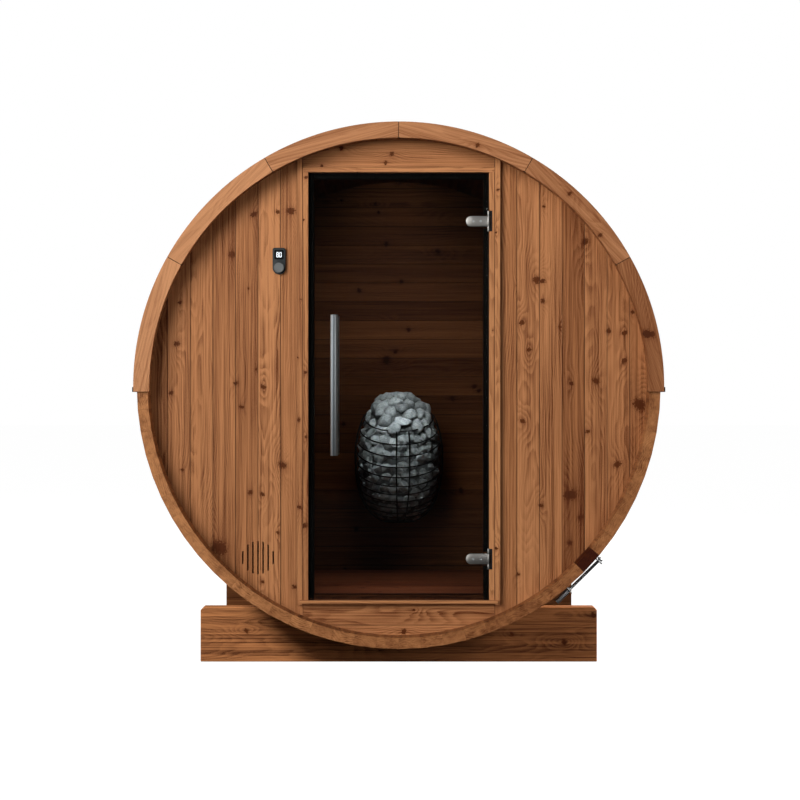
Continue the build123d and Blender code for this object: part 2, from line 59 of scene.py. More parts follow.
X, Y, Z = Vector((1, 0, 0)), Vector((0, 1, 0)), Vector((0, 0, 1))
STAVES = 72
STAVE_GROUPS = 8
STAVE_STEP = 2 * pi / STAVES
STAVE_THICK = 0.042
STAVE_FLARE = tan(STAVE_STEP / 2)  # half-width that a stave gains for each metre of thickness
CROZE_DEPTH = 0.010
AXIS_Z = (BACK_LOW.z + BACK_HIGH.z) / 2
AXIS = Vector((0, 0, AXIS_Z))
WALL_APOTHEM = (BACK_HIGH.z - AXIS_Z) * cos(STAVE_STEP / 2)
INNER_APOTHEM = WALL_APOTHEM - CROZE_DEPTH
OUTER_APOTHEM = INNER_APOTHEM + STAVE_THICK
FRAME_HALF = HEADER_HIGH.x
BOARD = 0.088
EDGE = 0.0016  # rounding of a planed board's long edges
SEAM = 0.0018  # how far in from a board's long edge the joint looks dark
OVERLAP = 0.01  # boards reach this far past the barrel's round before they are cut to it


def metres(*spots):
    """Knots given in millimetres: across, height and radius."""
    return [tuple(size / 1000 for size in spot) for spot in spots]


# Knots on the boards one looks at.
LEFT_KNOTS = metres(
    (-888, 1070, 8), (-613, 1016, 8), (-527, 1094, 9), (-453, 788, 14), (-578, 682, 9), (-531, 675, 8),
    (-700, 467, 28), (-406, 314, 9), (-531, 333, 7), (-845, 770, 6), (-472, 526, 6), (-420, 1780, 16),
    (-472, 1776, 9), (-468, 1678, 6), (-539, 1619, 6), (-492, 1506, 10), (-566, 1768, 10), (-649, 1611, 12),
    (-586, 1478, 4), (-866, 1262, 11), (-853, 1423, 8), (-637, 1107, 8), (-482, 1223, 5), (-556, 1163, 4),
    (-480, 1380, 3),
)
RIGHT_KNOTS = metres(
    (769, 1117, 14), (737, 920, 9), (670, 673, 23), (939, 1025, 23), (483, 960, 10), (509, 1240, 9),
    (480, 1345, 10), (819, 1313, 9), (629, 1328, 6), (880, 1196, 10), (853, 792, 13), (466, 364, 7),
    (667, 486, 9), (554, 631, 8), (563, 1430, 9), (566, 1798, 6), (726, 1660, 12), (538, 1512, 13),
    (561, 1506, 11), (465, 1490, 6), (483, 1112, 3), (880, 1305, 11), (709, 585, 10), (531, 430, 9),
    (673, 1107, 8), (912, 1385, 7),
)
HEADER_KNOTS = metres((-27, 2003, 8), (-51, 1968, 7), (-300, 1956, 6), (-224, 2027, 11))
BACK_KNOTS = metres(
    (-186, 1555, 10), (45, 1372, 10), (-16, 1268, 9), (-59, 1231, 16), (181, 1738, 9), (-59, 1771, 10),
    (12, 1597, 9), (250, 1050, 10), (-260, 930, 9), (290, 620, 12), (-200, 440, 10),
)
TRIM_KNOTS = metres((302, 2021, 9), (656, 1834, 9), (774, 1676, 8), (958, 1296, 21))
CRADLE_KNOTS = metres((-607, 122, 9), (775, 186, 11), (659, 78, 10), (451, 110, 8))
FRAME_KNOTS = metres(
    (-361, 1908, 7), (-370, 1743, 4), (-362, 1150, 6), (-360, 899, 5), (-366, 555, 10), (-390, 965, 7),
    (-393, 1208, 4), (-380, 1434, 3), (-387, 627, 10), (386, 1860, 6), (378, 1695, 5), (380, 466, 6),
)
KNOTS_PER_BOARD = 6
# How much lighter or darker than chance each board of a wall is.
LEFT_LIFTS = (0.0, 0.10, -0.04, 0.0, 0.0, 0.29, 0.0)  # from the barrel's edge to the door
RIGHT_LIFTS = (-0.08, 0.40, 0.0, -0.20, 0.16, 0.04, -0.18)  # from the door to the barrel's edge
# The back wall's rows are made lighter or darker partly for their own tone and partly as painted light and shade of
# the room.
BACK_TONE_AND_LIGHT_LIFTS = (0,) * 9 + (-0.05, -0.05, 0, 0, 0.15, 0.12, -0.22, 0.05, -0.22, -0.05, -0.15, 0, 0.1, 0.2)  # upwards


# ---------- shader helpers
class Value:
    """One output of a shader node, which can be reckoned with like a number."""

    def __init__(self, node, key=0):
        self.socket = node.outputs[key]
        self.tree = node.id_data

    def __getitem__(self, key):
        """Another output of the same node."""
        return Value(self.socket.node, key)

    def __add__(self, other):
        return reckon("ADD", self, other)

    def __sub__(self, other):
        return reckon("SUBTRACT", self, other)

    def __mul__(self, other):
        return reckon("MULTIPLY", self, other)

    def __truediv__(self, other):
        return reckon("DIVIDE", self, other)

    def line(self, factor, constant):
        """The value times a factor plus a constant."""
        return reckon("MULTIPLY_ADD", self, factor, constant)

    def swing(self, amount):
        """Noise about a half made to swing about nought by the amount."""
        return self.line(2 * amount, -amount)

    def span(self, low, high, to_low=0.0, to_high=1.0):
        """The value carried smoothly from one range to another and held at its ends."""
        inputs = {"Value": self, "From Min": low, "From Max": high, "To Min": to_low, "To Max": to_high}
        return add("MapRange", inputs, interpolation_type="SMOOTHSTEP")

    def stretched(self, *factors):
        """A vector with each axis scaled, so that a pattern is drawn out along some."""
        return add("VectorMath", {0: self, 1: factors}, operation="MULTIPLY")

    def speckle(self, scale, detail=2.0, rough=0.5):
        """Noise from 0 to 1 about a half, at this place."""
        return add("TexNoise", {"Vector": self, "Scale": scale, "Detail": detail, "Roughness": rough})


def feed(node, inputs):
    """The node's inputs set, each to a constant or to another node's output."""
    for key, value in inputs.items():
        socket = node.inputs[key]
        if isinstance(value, Value):
            value.tree.links.new(value.socket, socket)
        else:
            short = socket.type == "RGBA" and len(value) == 3
            socket.default_value = (*value, 1.0) if short else value


def add(kind, inputs=None, tree=None, **settings):
    """A new shader node, in the tree of its inputs unless one is given."""
    inputs = inputs or {}
    tree = tree or next(v.tree for v in inputs.values() if isinstance(v, Value))
    node = tree.nodes.new(f"ShaderNode{kind}")
    for key, value in settings.items():
        setattr(node, key, value)
    feed(node, inputs)
    return Value(node)


def reckon(operation, *values, clamp=False):
    """One step of arithmetic on outputs and numbers."""
    return add("Math", dict(enumerate(values)), operation=operation, use_clamp=clamp)


def parts(vector):
    """The vector's three parts, as outputs 0 to 2."""
    return add("SeparateXYZ", {0: vector})


def hues(colour):
    """The colour's three parts, as outputs 0 to 2."""
    return add("SeparateColor", {0: colour})


def blended(share, first, second, kind="MIX"):
    """Two colours mixed by a share from 0 to 1."""
    return add("Mix", {0: share, 6: first, 7: second}, data_type="RGBA", blend_type=kind)[2]


def scaled(colour, factor):
    """A constant colour made lighter or darker."""
    return tuple(c * factor for c in colour)


def material(name):
    """A new material, its node tree and its principled shader."""
    made = bpy.data.materials.new(name)
    made.use_nodes = True
    return made, made.node_tree, made.node_tree.nodes["Principled BSDF"]


def position(tree):
    """Where a spot is on its object."""
    return add("TexCoord", tree=tree)["Object"]


def attribute(tree, name, output="Vector"):
    """What the mesh says at a spot."""
    return add("Attribute", tree=tree, attribute_name=name)[output]


def toned(tree, colour):
    """The colour made lighter or darker by the mesh's tone."""
    inputs = {0: colour, "Scale": attribute(tree, "tone", "Fac")}
    return add("VectorMath", inputs, operation="SCALE")


def relief(height, strength, distance):
    """Fine relief from a height between 0 and 1."""
    return add("Bump", {"Strength": strength, "Distance": distance, "Height": height})


# ---------- wood
KNOT_BROWN = (0.062, 0.014, 0.002)
JOINT_DARK = (0.036, 0.011, 0.004)
RING_SPACING = 0.0045  # the least distance between two rings of growth


def knot_group():
    """How one knot bends the rings round it, and where its dark core and its halo lie."""
    group = bpy.data.node_groups.new("knot_field", "ShaderNodeTree")
    for name, kind in (("Grain", "Vector"), ("Knot", "Vector"), ("Ragged", "Float")):
        group.interface.new_socket(name, in_out="INPUT", socket_type=f"NodeSocket{kind}")
    for name in ("Bend", "Core", "Halo"):
        group.interface.new_socket(name, in_out="OUTPUT", socket_type="NodeSocketFloat")
    inside = Value(group.nodes.new("NodeGroupInput"))
    outside = group.nodes.new("NodeGroupOutput")
    grain, knot = parts(inside["Grain"]), parts(inside["Knot"])
    luck = hues(add("TexWhiteNoise", {"Vector": inside["Knot"]})["Color"])
    across = grain[1] - knot[1]
    along = grain[0] - knot[0] + across * luck[0].line(0.9, -0.45)
    radius = reckon("MAXIMUM", knot[2], 0.0005)

    def reach(squeeze):
        """How many radii away the knot is, with lengths along the grain squeezed."""
        short = along * squeeze
        return reckon("SQRT", short * short + across * across) / radius

    def fade(value, rate):
        return reckon("EXPONENT", value * value * -rate)

    real = reckon("GREATER_THAN", knot[2], 0.001)
    near = reach(luck[1].line(0.75, 0.95)) + inside["Ragged"]
    flame = fade(reach(0.26), 0.85) * 0.34
    feed(outside, {
        "Bend": fade(reach(0.40), 0.16) * radius * 2.0 * real,
        "Core": near.span(1.28, 0.92) * real,
        "Halo": fade(near, 0.50).line(0.60, flame) * real,
    })
    return group


def wood(name, pale, dark, lines=0.52, streaks=0.80, room_shade=0.42, breadth=1.0):
    """Planed softwood: rings cut by the board's face, streaks, fibres and knots that bend the rings.

    The colour runs from pale to dark by a single darkness, to which each of these adds its part.
    Surfaces inside the room are darkened to the given share as painted shade. A breadth over 1
    stretches the streaks across the board as well.
    """
    made, tree, shader = material(name)
    grain = attribute(tree, "grain")
    axes, board, state = parts(grain), parts(attribute(tree, "board")), parts(attribute(tree, "state"))
    chance = add("TexWhiteNoise", {"Vector": attribute(tree, "board")})["Value"]

    def drawn(along, across, detail=2.0, rough=0.5, wide=1.0):
        """Noise drawn out along the grain."""
        return grain.stretched(along, across / wide, across).speckle(1.0, detail, rough)

    ragged = grain.speckle(150.0, 4.0, 0.7).swing(1.5)
    bend = core = halo = 0.0
    for number in range(KNOTS_PER_BOARD):
        inputs = {"Grain": grain, "Knot": attribute(tree, f"knot_{number}"), "Ragged": ragged}
        field = add("Group", inputs, node_tree=KNOT_FIELD)
        bend = field["Bend"] + bend
        core = reckon("MAXIMUM", field["Core"], core)
        halo = reckon("MAXIMUM", field["Halo"], halo)

    drift = parts(drawn(1.5, 6.0)["Color"])
    side = axes[1] - board[0] + drift[0].swing(0.035)
    deep = axes[2] - board[1] + drift[1].swing(0.055)
    pith = reckon("SQRT", side * side + deep * deep) + bend
    rings = pith / chance.line(RING_SPACING, RING_SPACING) + drawn(5.0, 90.0) * 0.8
    phase = reckon("FRACT", rings)
    late = phase.span(0.10, 0.84) * phase.span(1.0, 0.88)
    late = late * drawn(1.7, 30.0, 1.0).span(0.30, 0.70, 0.25, 1.0)
    fine = drawn(5.0, 380.0, 2.0, 0.6, breadth)
    fibre = drawn(26.0, 1500.0, 2.0, 0.6, breadth)

    shade = late.line(lines, -lines * 0.30) + drawn(1.6, 130.0, 3.0, 0.65, breadth).swing(streaks)
    lively = reckon("FRACT", chance * 7.0).line(0.65, 0.82)
    shade = (shade + fine.swing(streaks * 0.6)).line(lively, 0.40)
    shade = shade + drawn(0.9, 24.0, 2.0, 0.55).swing(0.52) + fibre.swing(0.16)
    shade = reckon("ADD", shade + board[2].line(-0.6, 0.6), halo * 0.55, clamp=True)
    heart = blended(fine.span(0.30, 0.70), KNOT_BROWN, scaled(KNOT_BROWN, 1.7))
    colour = blended(core * 0.95, blended(shade, pale, dark), heart)
    inward = state[0] - reckon("ABSOLUTE", axes[1])
    colour = blended(inward.span(SEAM, SEAM * 0.3) * state[1], colour, JOINT_DARK)
    # Painted shade: surfaces inside the room are darkened by a share.
    shadow = blended(state[2], (1.0, 1.0, 1.0), (room_shade, room_shade * 0.86, room_shade * 0.80))
    colour = blended(1.0, colour, shadow, "MULTIPLY")
    inputs = {0: board[2] - 1.0, 1: (0.48, 0.62, 0.78), 2: (1, 1, 1)}
    gain = add("VectorMath", inputs, operation="MULTIPLY_ADD")
    feed(shader, {
        "Base Color": add("VectorMath", {0: colour, 1: gain}, operation="MULTIPLY"),
        "Roughness": late.line(-0.10, 0.62) + fibre.swing(0.07),
        "Specular IOR Level": 0.12,
        "Normal": relief(late * 0.55 + fibre * 0.45 - core * 0.6, 0.5, 0.0004),
    })
    return made


# ---------- other finishes
def steel(name, colour, rough, along):
    """Brushed steel, its scratches running along one axis."""
    made, tree, shader = material(name)
    spot = position(tree)
    scratch = spot.stretched(*(30.0 if i == along else 2600.0 for i in range(3))).speckle(1.0, 3.0, 0.6)
    feed(shader, {
        "Base Color": blended(scratch.span(0.3, 0.7), scaled(colour, 0.82), colour),
        "Metallic": 1.0,
        "Roughness": scratch.swing(0.10) + spot.speckle(18.0, 3.0).swing(0.05) + rough,
        "Normal": relief(scratch, 0.25, 0.0001),
    })
    return made


def painted(name, colour, rough, depth=0.00006, shine=0.15):
    """Paint, powder coat or plastic: a fine orange peel and a little unevenness of tone."""
    made, tree, shader = material(name)
    spot = position(tree)
    cloud = spot.speckle(14.0, 3.0)
    feed(shader, {
        "Base Color": blended(cloud.span(0.3, 0.7), scaled(colour, 0.75), scaled(colour, 1.25)),
        "Roughness": cloud.swing(0.08) + rough,
        "Specular IOR Level": shine,
        "Normal": relief(spot.speckle(700.0, 2.0), 0.4, depth),
    })
    return made


def stone_finish():
    """Blue-grey volcanic stone, speckled with pale and dark grains."""
    made, tree, shader = material("heater_stone")
    spot = position(tree)
    grains = spot.speckle(230.0, 5.0, 0.8)
    clouds = spot.speckle(55.0, 4.0, 0.6)
    colour = blended(clouds.span(0.35, 0.68), (0.25, 0.29, 0.31), (0.45, 0.50, 0.52))
    colour = blended(grains.span(0.56, 0.70, 0.0, 0.7), colour, (0.85, 0.87, 0.86))
    colour = blended(grains.span(0.46, 0.32, 0.0, 0.8), colour, (0.06, 0.07, 0.075))
    feed(shader, {
        # The mesh's tone holds each stone's chance tone and the painted shade of its crevices and of the core.
        "Base Color": toned(tree, colour),
        "Roughness": grains.span(0.3, 0.7, 0.75, 0.95),
        "Normal": relief(grains + clouds, 0.8, 0.0016),
    })
    return made


def shingle_finish():
    """Mineral granules in dark bitumen, each tab a little different."""
    made, tree, shader = material("shingle_granules")
    spot = position(tree)
    cells = add("TexVoronoi", {"Vector": spot, "Scale": 520.0})
    grain = hues(cells["Color"])
    colour = blended(grain.span(0.1, 0.9), (0.016, 0.016, 0.018), (0.085, 0.083, 0.082))
    cloud = spot.speckle(9.0, 4.0, 0.6).span(0.35, 0.7, 0.0, 0.5)
    feed(shader, {
        "Base Color": toned(tree, blended(cloud, colour, (0.055, 0.05, 0.048))),
        "Roughness": grain.span(0.0, 1.0, 0.78, 0.97),
        "Normal": relief(reckon("SUBTRACT", 1.0, cells["Distance"] * 2.0), 0.9, 0.0012),
    })
    return made


def glass_finish():
    """Grey tinted toughened glass: a tint that lets light through, and a mirror at its face."""
    made, tree, shader = material("tinted_glass")
    spot = position(tree)
    tint = blended(spot.speckle(3.0, 2.0), GLASS_TINT, scaled(GLASS_TINT, 0.96))
    clear = add("BsdfTransparent", {"Color": tint})
    mirror = add("BsdfGlossy", {"Roughness": 0.02, "Color": (1, 1, 1)}, tree)
    share = add("Fresnel", {"IOR": 1.45}, tree)
    whole = add("MixShader", {0: share, 1: clear, 2: mirror})
    feed(tree.nodes["Material Output"], {"Surface": whole})
    tree.nodes.remove(shader)
    return made


def lit_digits():
    """The display's white glow."""
    made, tree, shader = material("display_light")
    feed(shader, {
        "Base Color": (0.8, 0.85, 0.9),
        "Emission Color": blended(position(tree).speckle(900.0, 1.0), (0.80, 0.90, 1.0), (0.92, 0.97, 1.0)),
        "Emission Strength": 0.9,
        "Roughness": 0.4,
    })
    return made


GLASS_TINT = (0.80, 0.80, 0.79)
KNOT_FIELD = knot_group()
STAVE_WOOD = wood("stave_wood", (0.47, 0.198, 0.074), (0.095, 0.020, 0.004), lines=0.46, streaks=0.44, breadth=3.0)
WALL_WOOD = wood("wall_wood", (0.48, 0.202, 0.080), (0.095, 0.019, 0.003))
BACK_WOOD = wood("back_wood", (0.47, 0.206, 0.074), (0.095, 0.019, 0.003), lines=0.28, streaks=0.36)
FRAME_WOOD = wood("frame_wood", (0.50, 0.216, 0.086), (0.12, 0.028, 0.007))
TRIM_WOOD = wood("trim_wood", (0.50, 0.225, 0.100), (0.17, 0.045, 0.011), lines=0.30, streaks=0.58)
CRADLE_WOOD = wood("cradle_wood", (0.48, 0.176, 0.060), (0.060, 0.013, 0.003), lines=0.48)
# The floor takes a lighter painted shade inside the room than the walls.
FLOOR_WOOD = wood("floor_wood", (0.36, 0.135, 0.065), (0.10, 0.030, 0.014), room_shade=0.8)
BAR_STEEL = steel("bar_steel", (0.50, 0.55, 0.58), 0.42, 2)
HINGE_STEEL = steel("hinge_steel", (0.30, 0.295, 0.285), 0.42, 0)
PLATE_BLACK = painted("plate_black", (0.007, 0.006, 0.006), 0.7)
BAND_STEEL = steel("band_steel", (0.50, 0.50, 0.49), 0.38, 0)
BOLT_STEEL = steel("bolt_steel", (0.66, 0.68, 0.70), 0.45, 1)
CAGE_BLACK = painted("cage_black", (0.004, 0.004, 0.0045), 0.55)
PANEL_BLACK = painted("panel_black", (0.022, 0.026, 0.028), 0.50)
WINDOW_BLACK = painted("window_black", (0.006, 0.007, 0.008), 0.12, 0.00001, 0.5)
KNOB_GREY = painted("knob_grey", (0.085, 0.092, 0.095), 0.45, shine=0.5)
EAVE_BROWN = painted("eave_brown", (0.012, 0.010, 0.009), 0.55)
JOINT_BROWN = painted("joint_brown", (0.030, 0.012, 0.006), 0.80)
DIGIT_LIGHT = lit_digits()
# Black of the seal, which also stands in as painted shade in the door's rebate.
SEAL_AND_SHADE_BLACK = painted("seal_rubber_and_shade", (0.003, 0.003, 0.003), 0.75)
GLASS = glass_finish()
STONE = stone_finish()
SHINGLE = shingle_finish()


# ---------- meshes and objects
def placed(name, data):
    """A new object in the scene."""
    thing = bpy.data.objects.new(name, data)
    bpy.context.scene.collection.objects.link(thing)
    return thing


def written(bm, name):
    """The bmesh as a named mesh; the bmesh is closed."""
    mesh = bpy.data.meshes.new(name)
    bm.to_mesh(mesh)
    bm.free()
    return mesh


def merge(bm, whole):
    """The first bmesh added to the second and closed."""
    mesh = written(bm, "merged")
    whole.from_mesh(mesh)
    bpy.data.meshes.remove(mesh)


def evaluated(thing, bm):
    """The object's final shape read into the bmesh; the object is removed."""
    mesh = bpy.data.meshes.new_from_object(thing.evaluated_get(bpy.context.evaluated_depsgraph_get()))
    bm.from_mesh(mesh)
    bpy.data.objects.remove(thing)
    bpy.data.meshes.remove(mesh)
    return bm


def finished(bm, name, finish, node=None, body="sauna_barrel", smooth=None):
    """A mesh piece with its material, riding on its body and standing for a CAD node if one is given.

    With an angle in degrees, faces are shaded smooth across every edge that bends less.
    """
    if smooth is not None:
        for f in bm.faces:
            f.smooth = True
        for e in bm.edges:
            e.smooth = len(e.link_faces) == 2 and e.calc_face_angle(0.0) < radians(smooth)
    piece = placed(name, written(bm, name))
    piece.data.materials.append(finish)
    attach(piece, body)
    if node:
        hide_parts(node)
    return piece


def round_over(bm, edges, width, segments=2):
    bmesh.ops.bevel(bm, geom=list(edges), offset=width, segments=segments, profile=0.5, affect="EDGES",
                    material=-1, clamp_overlap=True)


def sharp_edges(bm, least=30):
    """The edges that bend more than an angle in degrees."""
    return [e for e in bm.edges if len(e.link_faces) == 2 and e.calc_face_angle(0.0) > radians(least)]


def edges_of(verts):
    return {e for v in verts for e in v.link_edges}


def run_of(edge, axis):
    """How far an edge runs along one axis."""
    return abs(edge.verts[1].co[axis] - edge.verts[0].co[axis])


def everything(bm):
    return bm.verts[:] + bm.edges[:] + bm.faces[:]


def block(bm, place, size):
    """A box about a point, or in a board's own frame; gives back its edges."""
    if isinstance(place, Vector):
        place = Matrix.Translation(place)
    return edges_of(bmesh.ops.create_cube(bm, size=1.0, matrix=place @ Matrix.Diagonal((*size, 1)))["verts"])


def cone(bm, middle, run, depth, radii, segments):
    """A round bar about a point and along a run, which may narrow; gives back its corners."""
    place = Matrix.Translation(middle) @ run.to_track_quat("Z", "Y").to_matrix().to_4x4()
    return bmesh.ops.create_cone(bm, cap_ends=True, segments=segments, radius1=radii[0], radius2=radii[1],
                                 depth=depth, matrix=place)["verts"]


def cylinder(bm, start, end, radius, segments=32, ease=0.0):
    """A round bar between two points, its end edges eased."""
    run = end - start
    rims = edges_of(cone(bm, (start + end) / 2, run, run.length, (radius, radius), segments))
    if ease:
        round_over(bm, [e for e in rims if e.calc_face_angle(0.0) > 1.0], ease, 3)


def clip(bm, planes):
    """The solid cut back to the inner side of each plane that crosses it."""
    for point, normal in planes:
        if max((v.co - point).dot(normal) for v in bm.verts) < 1e-6:
            continue
        cut = bmesh.ops.bisect_plane(bm, geom=everything(bm), plane_co=point, plane_no=normal,
                                     clear_outer=True, dist=1e-6)
        rim = [g for g in cut["geom_cut"] if isinstance(g, bmesh.types.BMEdge)]
        if rim:
            bmesh.ops.holes_fill(bm, edges=rim)


def axes_at(origin, along, across, face):
    """A board's own frame: x along the grain, y across it, z out of its face."""
    frame_of = Matrix((along, across, face)).transposed().to_4x4()
    frame_of.translation = Vector(origin)
    return frame_of


def radial(angle):
    """The unit vector from the barrel's axis, at an angle from straight down towards +X."""
    return Vector((sin(angle), 0, -cos(angle)))


def barrel_planes(apothem):
    """The planes of the staved barrel at this apothem, each with its outward normal."""
    normals = [radial((i + 0.5) * STAVE_STEP) for i in range(STAVES)]
    return [(AXIS + n * apothem, n) for n in normals]


def chance_way(chance):
    """A unit vector that points anywhere."""
    return Vector([chance.gauss(0, 1) for _ in range(3)]).normalized()


# ---------- boards
class Timber:
    """Boards gathered in one mesh; each carries its own grain, ring centre, tone and knots."""

    def __init__(self, seed):
        self.whole = blank()
        self.chance = random.Random(seed)

    def lay(self, bm, place, pith=None, tone=None, lift=0.0, knots=(), flare=0.0, seam=0.9):
        """The board is given its grain and joins the others: x along its length, y across, z out of its face.

        The state of a spot is its board's half-width there, how dark the joint looks, and whether it
        faces the room. A board that is wider at its face than at its back has a flare: the
        half-width gained for each metre of thickness.
        """
        chance = self.chance
        shift = chance.uniform(0, 40)
        if pith is None:
            flat = chance.random() < 0.55
            side = chance.uniform(-0.03, 0.03) if flat else chance.choice((-1, 1)) * chance.uniform(0.10, 0.25)
            pith = (side, chance.uniform(-0.16, -0.05))
        if tone is None:
            tone = chance.gauss(1.0, 0.09) + lift
        layers = bm.verts.layers.float_vector
        back = place.inverted()
        half = max(abs((back @ v.co).y) - flare * (back @ v.co).z for v in bm.verts)
        spots = [(back @ Vector(k[:3]), k[3]) for k in knots[:KNOTS_PER_BOARD]]
        for v in bm.verts:
            local = back @ v.co
            v[layers["grain"]] = Vector((local.x + shift, local.y, local.z))
            v[layers["board"]] = Vector((*pith, tone))
            v[layers["state"]] = Vector((half + flare * local.z, seam, in_room(v.co)))
            for i, (spot, radius) in enumerate(spots):
                v[layers[f"knot_{i}"]] = Vector((spot.x + shift, spot.y, radius))
        bmesh.ops.recalc_face_normals(bm, faces=bm.faces[:])
        merge(bm, self.whole)

    def spare_knots(self, place, length, width, count, low=0.004, high=0.011):
        """A few knots at chance places on a board."""
        chance = self.chance
        made = []
        for _ in range(count):
            spot = Vector((chance.uniform(-0.47, 0.47) * length, chance.uniform(-0.36, 0.36) * width, 0.0))
            made.append((*(place @ spot), chance.uniform(low, high)))
        return made

    def piece(self, name, slot_name, finish, node):
        """The gathered boards as one piece that stands for a CAD node."""
        finished(self.whole, name, finish, node)


def blank():
    """An empty bmesh with room for what a board's material reads."""
    bm = bmesh.new()
    for name in ("grain", "board", "state", *(f"knot_{i}" for i in range(KNOTS_PER_BOARD))):
        bm.verts.layers.float_vector.new(name)
    return bm


def plank(place, size):
    """A new board of (length, width, thickness) with its long edges rounded over."""
    bm = blank()
    along = (place.to_3x3() @ X).normalized()
    edges = block(bm, place, size)
    round_over(bm, [e for e in edges if abs((e.verts[1].co - e.verts[0].co).normalized().dot(along)) > 0.9], EDGE)
    return bm


def in_room(spot):
    """1 for a spot on the surfaces that enclose the room, otherwise 0."""
    ends = GLASS_HIGH.y + 0.004
    out = hypot(spot.x, spot.z - AXIS_Z)
    return float(-ends > spot.y > ends and out < WALL_APOTHEM / cos(STAVE_STEP / 2) + 0.001)


# ---------- barrel staves
DARK_STAVE = 9  # one stave of dark heartwood, low on the right
STAVE_EASE = 0.0011


def staves():
    """Seventy-two staves, each grooved across its inner face to hold the end walls."""
    outer_width = 2 * OUTER_APOTHEM * STAVE_FLARE
    per_group = STAVES // STAVE_GROUPS
    for group in range(STAVE_GROUPS):
        timber = Timber(100 + group)
        chance = timber.chance
        for number in range(group * per_group, (group + 1) * per_group):
            out = radial((number + 0.5) * STAVE_STEP)
            place = axes_at(AXIS + out * (OUTER_APOTHEM - STAVE_THICK / 2), Y, out.cross(Y), out)
            # Over a chance tone, the staves are painted lighter to the left and at the flanks and darker at the
            # bottom and top, as painted light.
            tone = -0.2 if number == DARK_STAVE else chance.gauss(0.92, 0.07) + 0.20 * abs(out.x) - 0.16 * out.x
            knots = timber.spare_knots(place, 2 * STAVE_END, outer_width, chance.choice((1, 2, 3)))
            pith = (chance.uniform(-0.05, 0.05), chance.uniform(-0.40, -0.22))
            timber.lay(stave(place, outer_width), place, pith, tone, knots=knots, flare=STAVE_FLARE, seam=0.2)
        timber.piece(f"staves_{group + 1}_boards", "stave_wood", STAVE_WOOD, f"staves_{group + 1}")


def stave(place, outer_width):
    """One stave: wider outside than inside, its edges eased, with two croze grooves."""
    bm = blank()
    block(bm, Vector(), (2 * STAVE_END, outer_width, STAVE_THICK))
    for v in bm.verts:
        if v.co.z < 0:
            v.co.y *= INNER_APOTHEM / OUTER_APOTHEM
    round_over(bm, [e for e in bm.edges if run_of(e, 0) > STAVE_END], STAVE_EASE)
    grooves = [(WALL_LOW.y, WALL_HIGH.y), (-WALL_HIGH.y, -WALL_LOW.y)]
    for groove in grooves:
        for y in groove:
            bmesh.ops.bisect_plane(bm, geom=everything(bm), plane_co=X * y, plane_no=X)
    floors = []
    for f in bm.faces:
        middle = f.calc_center_median()
        if any(low < middle.x < high for low, high in grooves) and middle.z < 0.004 - STAVE_THICK / 2:
            floors.append(f)
    sunk = bmesh.ops.extrude_face_region(bm, geom=floors)
    moved = [g for g in sunk["geom"] if isinstance(g, bmesh.types.BMVert)]
    bmesh.ops.translate(bm, verts=moved, vec=Z * CROZE_DEPTH)
    bmesh.ops.transform(bm, matrix=place, verts=bm.verts[:])
    return bm


# ---------- end walls
WALL_MIDDLE = (WALL_LOW.y + WALL_HIGH.y) / 2
WALL_THICK = WALL_HIGH.y - WALL_LOW.y
WALL_HEIGHTS = (WALL_LOW.z - OVERLAP, WALL_HIGH.z + OVERLAP)
BACK_JOINT = 0.2708  # a joint of the back wall's boards just over the floor
VENT = Vector((-0.549, -0.624, 0.428))
VENT_RADIUS = 0.0645
VENT_PITCH = 0.0198
VENT_SLOTS = 7
SLOT = 0.0062


def wall_boards(node, joints, limits, upright, knots, seed, spare=0, cutter=None, lifts=(), finish=WALL_WOOD):
    """Boards side by side, cut to the barrel's round; joints run across them.

    Each lift makes its board lighter than chance would, or darker.
    """
    timber = Timber(seed)
    planes = barrel_planes(WALL_APOTHEM)
    mid_y, face = (-WALL_MIDDLE, Y) if node == "back_wall" else (WALL_MIDDLE, -Y)
    length = limits[1] - limits[0]
    centre = (limits[0] + limits[1]) / 2
    for number, (low, high) in enumerate(zip(joints[:-1], joints[1:])):
        across = (low + high) / 2
        if upright:
            place = axes_at((across, mid_y, centre), Z, X, face)
        else:
            place = axes_at((centre, mid_y, across), X, Z, face)
        bm = plank(place, (length, high - low, WALL_THICK))
        clip(bm, planes)
        if cutter and low < VENT.x + VENT_RADIUS and high > VENT.x - VENT_RADIUS:
            bm = cut_through(bm, cutter)
        mine = [(x, mid_y, z, r) for x, z, r in knots if low - r < (x if upright else z) < high + r]
        if spare and not mine:
            mine = timber.spare_knots(place, length, high - low, spare)
        timber.lay(bm, place, lift=lifts[number] if number < len(lifts) else 0.0, knots=mine)
    timber.piece(f"{node}_boards", "wall_wood", finish, node)


